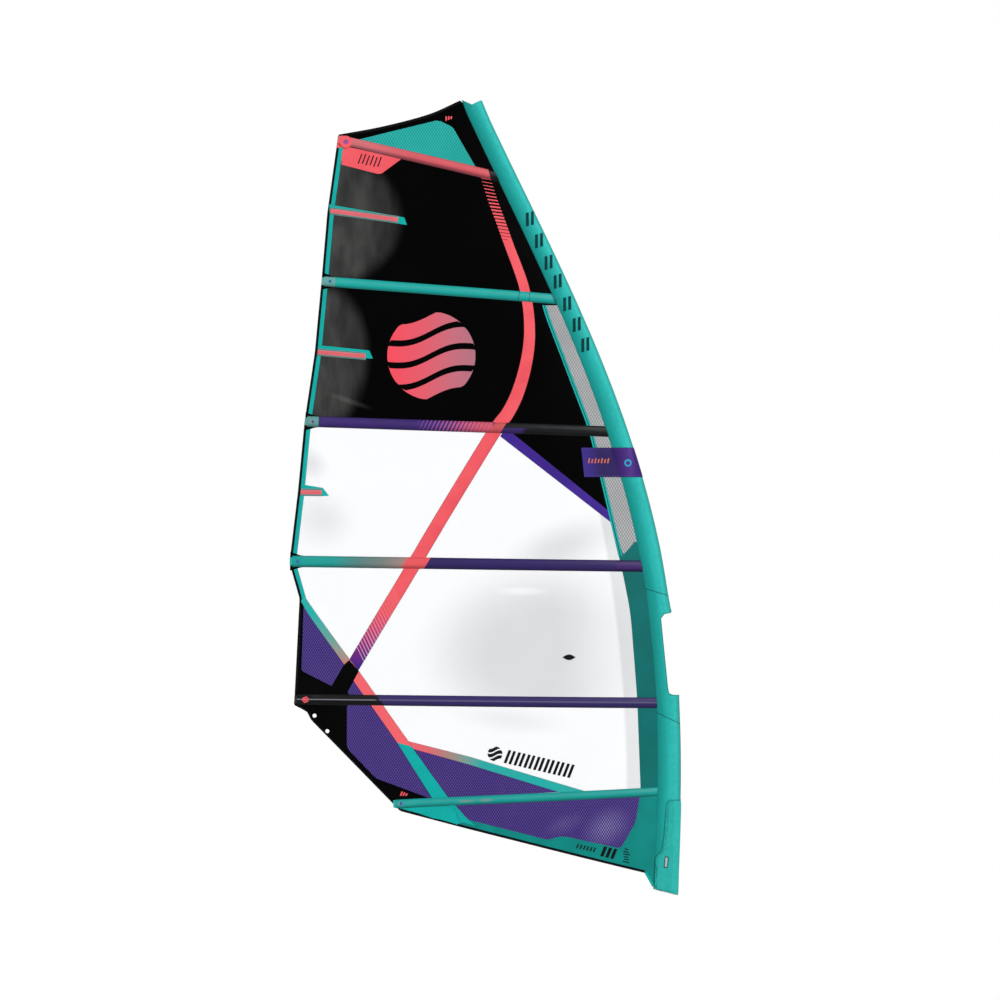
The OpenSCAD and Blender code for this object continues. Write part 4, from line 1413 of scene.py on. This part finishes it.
def sleeve(name, z0, z1, nodes, opening=False, low=None, high=None):
    """A length of the sleeve, with the boom's opening cut in its front, or with its low or high
    edge cut to a height by x."""
    count = round((z1 - z0) / (28))
    zs = [z0 + (z1 - z0) * j / count for j in range(count + 1)]
    if opening:
        zs = sorted([z for z in zs if z < 1178 or z > 1700] + [1179.0, 1182.0, 1697.0] + CUT_Z)
    half = 26
    outer, inn, att = [], [], {"t": []}
    for j, z in enumerate(zs):
        f, total = profile(z)
        t0 = 0.0
        if opening and in_cut(z):
            t0 = reach(f, total, lookup(z, CUT))
        mid = (front(z) + aft(z)) / 2
        shear = lookup(z, SHEAR)
        ts = [t0 + (total - t0) * i / half for i in range(half + 1)]
        ring, inr = [], []
        for side, seq in ((NEAR, ts), (FAR, ts[::-1][1:])):
            for t in seq:
                x, y, nx, ny = f(t)
                h = folds(t, total, z, side)
                zz = z + shear * (x - mid)
                if low and j < 3:
                    zz += (low(x) - z0) * (1 - j / 3)
                if high and j > len(zs) - 5:
                    zz += (high(x) - z1) * (j - len(zs) + 5) / 4
                ring.append((x + nx * h, side * (y + ny * h), zz))
                g = h - SLEEVE_T
                inr.append((x + nx * g, side * (y + ny * g), zz))
                att["t"].append((total - t) * MM)
        outer.append(ring)
        inn.append(inr)
    o = shell_of(name, outer, inn, sleeve_cloth, att, 60)
    # the two ends of a closed ring meet at the front: weld them and take out the walls between
    bm = bmesh.new()
    bm.from_mesh(o.data)
    bmesh.ops.remove_doubles(bm, verts=bm.verts, dist=0.00002)
    same = {}
    for f in bm.faces:
        same.setdefault(tuple(sorted(v.index for v in f.verts)), []).append(f)
    doomed = [f for group in same.values() if len(group) > 1 for f in group]
    bmesh.ops.delete(bm, geom=doomed, context="FACES")
    bm.to_mesh(o.data)
    bm.free()
    tidy_normals(o)
    width = 2 * profile((z0 + z1) / 2)[1] * MM
    a = width * (z1 - z0) * MM * (OPEN_SHARE if opening else 1.0)
    finish_piece(o, "sleeve_cloth", nodes, flat=(width, (z1 - z0) * MM))
    return outer, zs


sleeve("sleeve_cloth_tack", 30, 1049, ("sleeve_tack",), low=lambda x: 36 - 0.25 * (x + 110))
boom_rings, boom_z = sleeve("sleeve_cloth_boom", 1049, 1797, ("sleeve_boom",), opening=True)
sleeve("sleeve_cloth_lower", 1797, 2755, ("sleeve_lower",))
sleeve("sleeve_cloth_middle", 2755, 3535, ("sleeve_middle",))
sleeve("sleeve_cloth_upper", 3535, 4268, ("sleeve_upper",))
sleeve("sleeve_cloth_head", 4268, 4705, ("sleeve_head",), high=lambda x: lookup(x, TOP))


def on_sleeve(side):
    return lambda x, z, h: (x, side * (sleeve_y(x, z) + h + 1.2), z)


def cord_round(name, path, r, mat, sides=8):
    """A round piping or seam along a closed path."""
    path = [Vector(p) for p in path]
    n = len(path)
    verts = []
    up = Vector((0, 1, 0.01))
    for j, p in enumerate(path):
        d = (path[(j + 1) % n] - path[j - 1]).normalized()
        u = (up - d * up.dot(d)).normalized()
        v = d.cross(u)
        verts += [tuple(p + (u * math.cos(g) + v * math.sin(g)) * r)
                  for g in (2 * math.pi * i / sides for i in range(sides))]
    faces = [(j * sides + i, j * sides + (i + 1) % sides,
              (j + 1) % n * sides + (i + 1) % sides, (j + 1) % n * sides + i)
             for j in range(n) for i in range(sides)]
    o = mesh_object(name, verts, faces, mat, None, 60)
    tidy_normals(o)
    finish_piece(o, "sleeve_cloth")


# piping along the edge of the boom's opening
piping = tape("sleeve_piping", "0B8A81", "0A776F")
cut_rings = [ring for ring, z in zip(boom_rings, boom_z) if in_cut(z)]
cord_round("opening_piping", [ring[0] for ring in cut_rings]
           + [ring[-1] for ring in cut_rings[::-1]], 2.2, piping)


def ring_at(z):
    """Loop round the sleeve at a seam."""
    f, total = profile(z)
    mid, shear = (front(z) + aft(z)) / 2, lookup(z, SHEAR)
    pts = []
    for side, seq in ((NEAR, range(0, 27)), (FAR, range(25, 0, -1))):
        for i in seq:
            t = total * i / 26
            x, y, nx, ny = f(t)
            h = folds(t, total, z, side) + 0.6
            pts.append((x + nx * h, side * (y + ny * h), z + shear * (x - mid)))
    return pts


for i, z in enumerate(SEAMS):
    cord_round(f"sleeve_seam_{i + 1}", ring_at(z), 1.3, dark_line)

# marks down the sleeve
MARKS = [(-843, 4013), (-789, 3884), (-732, 3755), (-678, 3642), (-622, 3509), (-565, 3386),
         (-514, 3266)]
sleeve_ink = tape("sleeve_ink", "0C3A3C", "123F40", 0.06)
bars("sleeve_marks", [(x + (15 if j else -15), z + (4 if j else -4), 17, 78, 16, 12)
                      for x, z in MARKS for j in (0, 1)], sleeve_ink, "black_webbing", 1,
     place=on_sleeve)


# label: a cloth wrapped round the sleeve, with a free flap on the visible side
def label_mat():
    m = Mat("label_cloth", Sheen_Weight=0.08, Specular_IOR_Level=0.12)
    u, v = m.attr("u"), m.attr("v")
    c = u.ramp((0.0, "3A2A86"), (0.05, "34247C"), (0.10, "2A1B58"), (0.19, "2C1A5C"),
               (0.24, "45247A"), (0.29, "5A3A8E"), (0.32, "3A1C78"), (0.36, "32196A"))
    c = m.mix((v - 0.5).abs().step(0.475, 0.5) * 0.6, c, "0A0618")
    stitch = ((u / 0.005).frac().above(0.4)) * (v - 0.5).abs().step(0.448, 0.452) \
        * (v - 0.5).abs().below(0.462)
    c = m.mix(stitch * 0.4, c, "7A6AB0")
    m.base(m.mix(m.noise(24, 3) * 0.25, c, "1A1038"))
    m.rough(0.4, 0.55)
    m.bump(m.weave(0.0012), 0.00014)
    return m


LABEL_Z, LABEL_TALL = 2480, 175
outer, inner, att = [], [], {"u": [], "v": []}
for j in range(15):
    v = j / 14
    z = LABEL_Z + LABEL_TALL * v
    f, total = profile(z)
    x0 = -520 - 18 * v
    x1 = aft(z) - 2
    pts = []
    for i in range(13):
        x = x0 + (x1 - x0) * i / 12
        swelling = abs(noise.noise(Vector((x / 40, z / 50, 1))))
        lift = 3.5 + 1.6 * math.sin(math.pi * i / 12) * swelling
        pts.append((x, cloth_y(x, z) - lift, z, 0, -1))
    for side, t0, t1 in ((NEAR, total - 3, 0), (FAR, 0, total - 3)):
        for i in range(0 if side == NEAR else 1, 25):
            t = t0 + (t1 - t0) * i / 24
            x, y, nx, ny = f(t)
            h = folds(t, total, z, side) + 2.4
            pts.append((x + nx * h, side * (y + ny * h), z, nx, side * ny))
    run, last = 0.0, None
    for x, y, zz, nx, ny in pts:
        if last:
            run += math.dist((x, y), last)
        last = (x, y)
        att["u"].append(run * MM)
        att["v"].append(v)
    outer.append([(x, y, zz) for x, y, zz, nx, ny in pts])
    inner.append([(x - nx * 0.8, y - ny * 0.8, zz) for x, y, zz, nx, ny in pts])
    if j == 7:
        label_length = run
label = shell_of("label_wrap", outer, inner, label_mat(), att, 60)
finish_piece(label, "purple_cloth", ("label_band",),
             flat=(LABEL_TALL * MM, label_length * MM))


def on_piece(piece, gap):
    """Place points a gap in front of a piece, as seen from the visible side."""
    def place(side):
        def put(x, z, h):
            hit, loc, _, _ = piece.ray_cast((x * MM, side * 0.4, z * MM), (0, -side, 0))
            y = loc.y / MM if hit else side * (sleeve_y(x, z) + 3)
            return x, y + side * (gap + h), z
        return put
    return place


orange_ink = tape("orange_ink", "C8604A", "E08A5A", 0.08)
cyan_ink = tape("cyan_ink", "2C8CC0", "48B8DC", 0.08)
on_label = on_piece(label, 0.3)
bars("label_marks", [(-492 + 19 * i, 2577 - 2 * (i % 2), 8, 30 - 6 * (i % 2), 4, -2)
                     for i in range(7)], orange_ink, "coral_tape", 1, NEAR_ONLY, on_label)
ring_pts, ring_faces = [], []
for i in range(24):
    g = 2 * math.pi * i / 24
    for r in (12, 22):
        ring_pts.append((-261 + r * math.cos(g), 2564 + r * math.sin(g)))
    ring_faces.append([2 * i, 2 * i + 1, (2 * i + 3) % 48, (2 * i + 2) % 48])
overlay("label_ring", ring_pts, ring_faces, cyan_ink, "teal_tape", 1, (), NEAR_ONLY, thick=0.3,
        place=on_label)

# ------------------------------------------------------------------ pad round the sleeve's foot
PAD_LOW, PAD_HIGH = 31, 563
PAD_EDGE = [(170, -160), (208, -112), (263, -62), (345, -48), (544, -32), (571, -8)]


def pad_material():
    m = Mat("pad_cloth", Sheen_Weight=0.08, Sheen_Roughness=0.4, Specular_IOR_Level=0.14)
    tone = m.noise(4, 4) * 0.5 + m.noise(50, 3) * 0.5
    m.base(m.mix(tone.step(0.3, 0.8), "2CB3AA", "1FA299"))
    m.rough(0.42, 0.6)
    m.bump(m.weave(0.0011) * 0.8 + m.noise(500, 2) * 0.2, 0.00014)
    return m


pad_cloth = pad_material()


def pad_reach(z):
    """Length round the sleeve at which the pad's side seam runs."""
    f, total = profile(z)
    return min(total - 4, reach(f, total, lookup(z, PAD_EDGE)))


outer, inner = [], []
for j in range(55):
    z = PAD_LOW + (PAD_HIGH - PAD_LOW) * j / 54
    end = pad_reach(z)
    f, total = profile(z)
    top, bottom = ease((566 - z) / 26), ease((z - 24) / 20)
    row, under = [], []
    for side, t0, t1 in ((NEAR, end, 0), (FAR, 0, end)):
        for i in range(0 if side == NEAR else 1, 23):
            t = t0 + (t1 - t0) * i / 22
            crown = ease((end - t) / 24) * top * bottom
            x, y, nx, ny = f(t)
            fold = folds(t, total, z, side)
            drop = (3 - 0.25 * (x + 110)) * ease(1 - (z - PAD_LOW) / 130)
            for points, lift in ((row, 1.9 + 2.9 * crown), (under, 0.9)):
                h = fold + lift
                points.append((x + nx * h, side * (y + ny * h), z + drop))
    outer.append(row)
    inner.append(under)
pad = shell_of("tack_pad_cover", outer, inner, pad_cloth, None, 80)
rim = (outer[0] + [row[-1] for row in outer[1:]] + outer[-1][::-1][1:]
       + [row[0] for row in outer[::-1][1:-1]])


def swell(piece, voxel, pressure, limit):
    """Blow the piece up as padded cloth and keep the shape."""
    view = bpy.context.view_layer
    view.objects.active = piece
    remesh = piece.modifiers.new("remesh", "REMESH")
    remesh.mode = "VOXEL"
    remesh.voxel_size = voxel
    bpy.ops.object.modifier_apply(modifier=remesh.name)
    start = [v.co.copy() for v in piece.data.vertices]
    cloth_mod = piece.modifiers.new("cloth", "CLOTH")
    st = cloth_mod.settings
    st.use_pressure = True
    st.uniform_pressure_force = pressure
    st.effector_weights.gravity = 0
    st.tension_stiffness = st.compression_stiffness = 12
    st.quality = 4
    for i in range(1, 21):
        scene.frame_set(i)
    view.update()
    new = piece.evaluated_get(bpy.context.evaluated_depsgraph_get()).data
    end = [v.co.copy() for v in new.vertices]
    piece.modifiers.remove(cloth_mod)
    scene.frame_set(1)
    for v, a, b in zip(piece.data.vertices, start, end):
        move = b - a
        if move.length > limit:
            move *= limit / move.length
        v.co = a + move
    sub = piece.modifiers.new("smooth", "SUBSURF")
    sub.levels = sub.render_levels = 1
    bpy.ops.object.modifier_apply(modifier=sub.name)
    piece.data.shade_smooth()


swell(pad, 0.003, 4, 0.0025)
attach(pad, "sail")
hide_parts("tack_pad")
cord_round("pad_seam", rim, 0.9, dark_line, 6)
badge_mat = tape("badge_silver", "A9B7B8", "8FA0A2", 0.3)
badge_edge = tape("badge_edge", "123638", "0E2C2E", 0.1)
on_pad = on_piece(pad, 0.2)


def badge(w, h):
    c, s = math.cos(math.radians(-6)), math.sin(math.radians(-6))
    return [(-34 + x * c - z * s, 194 + x * s + z * c) for x, z in
            rounded([(-w, -h), (w, -h), (w, h), (-w, h)], 5)]


patch("badge_rim", badge(11.5, 34), badge_edge, "black_webbing", 1, (), NEAR_ONLY, cell=12,
      place=on_pad)
patch("badge_face", badge(7, 29), badge_mat, "grey_scrim", 2, (), NEAR_ONLY, cell=12,
      place=on_pad)

# ------------------------------------------------------------------ CAD parts that stay
steel = metal("stainless", "C6C9CD")
eyelet_mat = metal("eyelet_black", "060607", 0.45, 0.6, "0C0C0E")
pulley = plastic("acetal", "23262B", "3A3E45")
cap_mat = plastic("cap_nylon", "141517", "26282C")
rod = plastic("glass_fibre", "D8D4C6", "BDB8A8", 300)
anodised = metal("anodised_coral", "F0606A", tint="C9434E")
# housings at the battens' leech ends, from the head down
CAPS = (("coral", "EE6068", "D54C55"), ("grey_teal", "5FA39C", "4A8F88"),
        ("slate", "5C9A94", "457F7A"), ("teal", "16A89E", "0F8F87"),
        ("black", "0C0C0E", "1C1D20"), ("sea", "14A79D", "0F8F87"))


def repaint(node, mat):
    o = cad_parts[node]
    o.data.materials.clear()
    o.data.materials.append(mat.m)


for k, (word, code, wear_and_shade) in enumerate(CAPS, 1):
    repaint(f"tensioner_{k}", plastic(f"tensioner_{word}", code, wear_and_shade))
    repaint(f"screw_{k}", anodised)
    repaint(f"batten_{k}", rod)
for mat, nodes in ((rod, ["mini_battens"]), (steel, ["tack_block", "sheave_axle"]),
                   (eyelet_mat, ["clew_eyelet_upper", "clew_eyelet_lower"]),
                   (pulley, ["sheave_1", "sheave_2", "sheave_3"]),
                   (cap_mat, ["mast_tip_cap", "head_buckle"]),
                   (edge_web, ["tack_webbing", "head_strap"])):
    for node in nodes:
        repaint(node, mat)

# ------------------------------------------------------------------ floor
bm = bmesh.new()
bmesh.ops.create_grid(bm, x_segments=4, y_segments=4, size=60)
me = bpy.data.meshes.new("floor")
bm.to_mesh(me)
bm.free()
floor = bpy.data.objects.new("floor", me)
floor.location = (-1, 0, -0.03)
scene.collection.objects.link(floor)
fm = bpy.data.materials.new("floor")
fm.use_nodes = True
ft = fm.node_tree
fb = ft.nodes["Principled BSDF"]
fb.inputs["Base Color"].default_value = (0.8, 0.8, 0.8, 1)
fb.inputs["Roughness"].default_value = 0.9
fe, fp, fx = (ft.nodes.new(t) for t in ("ShaderNodeEmission", "ShaderNodeLightPath",
                                        "ShaderNodeMixShader"))
ft.links.new(fp.outputs["Is Camera Ray"], fx.inputs[0])
ft.links.new(fb.outputs[0], fx.inputs[1])
ft.links.new(fe.outputs[0], fx.inputs[2])
ft.links.new(fx.outputs[0], ft.nodes["Material Output"].inputs[0])
me.materials.append(fm)
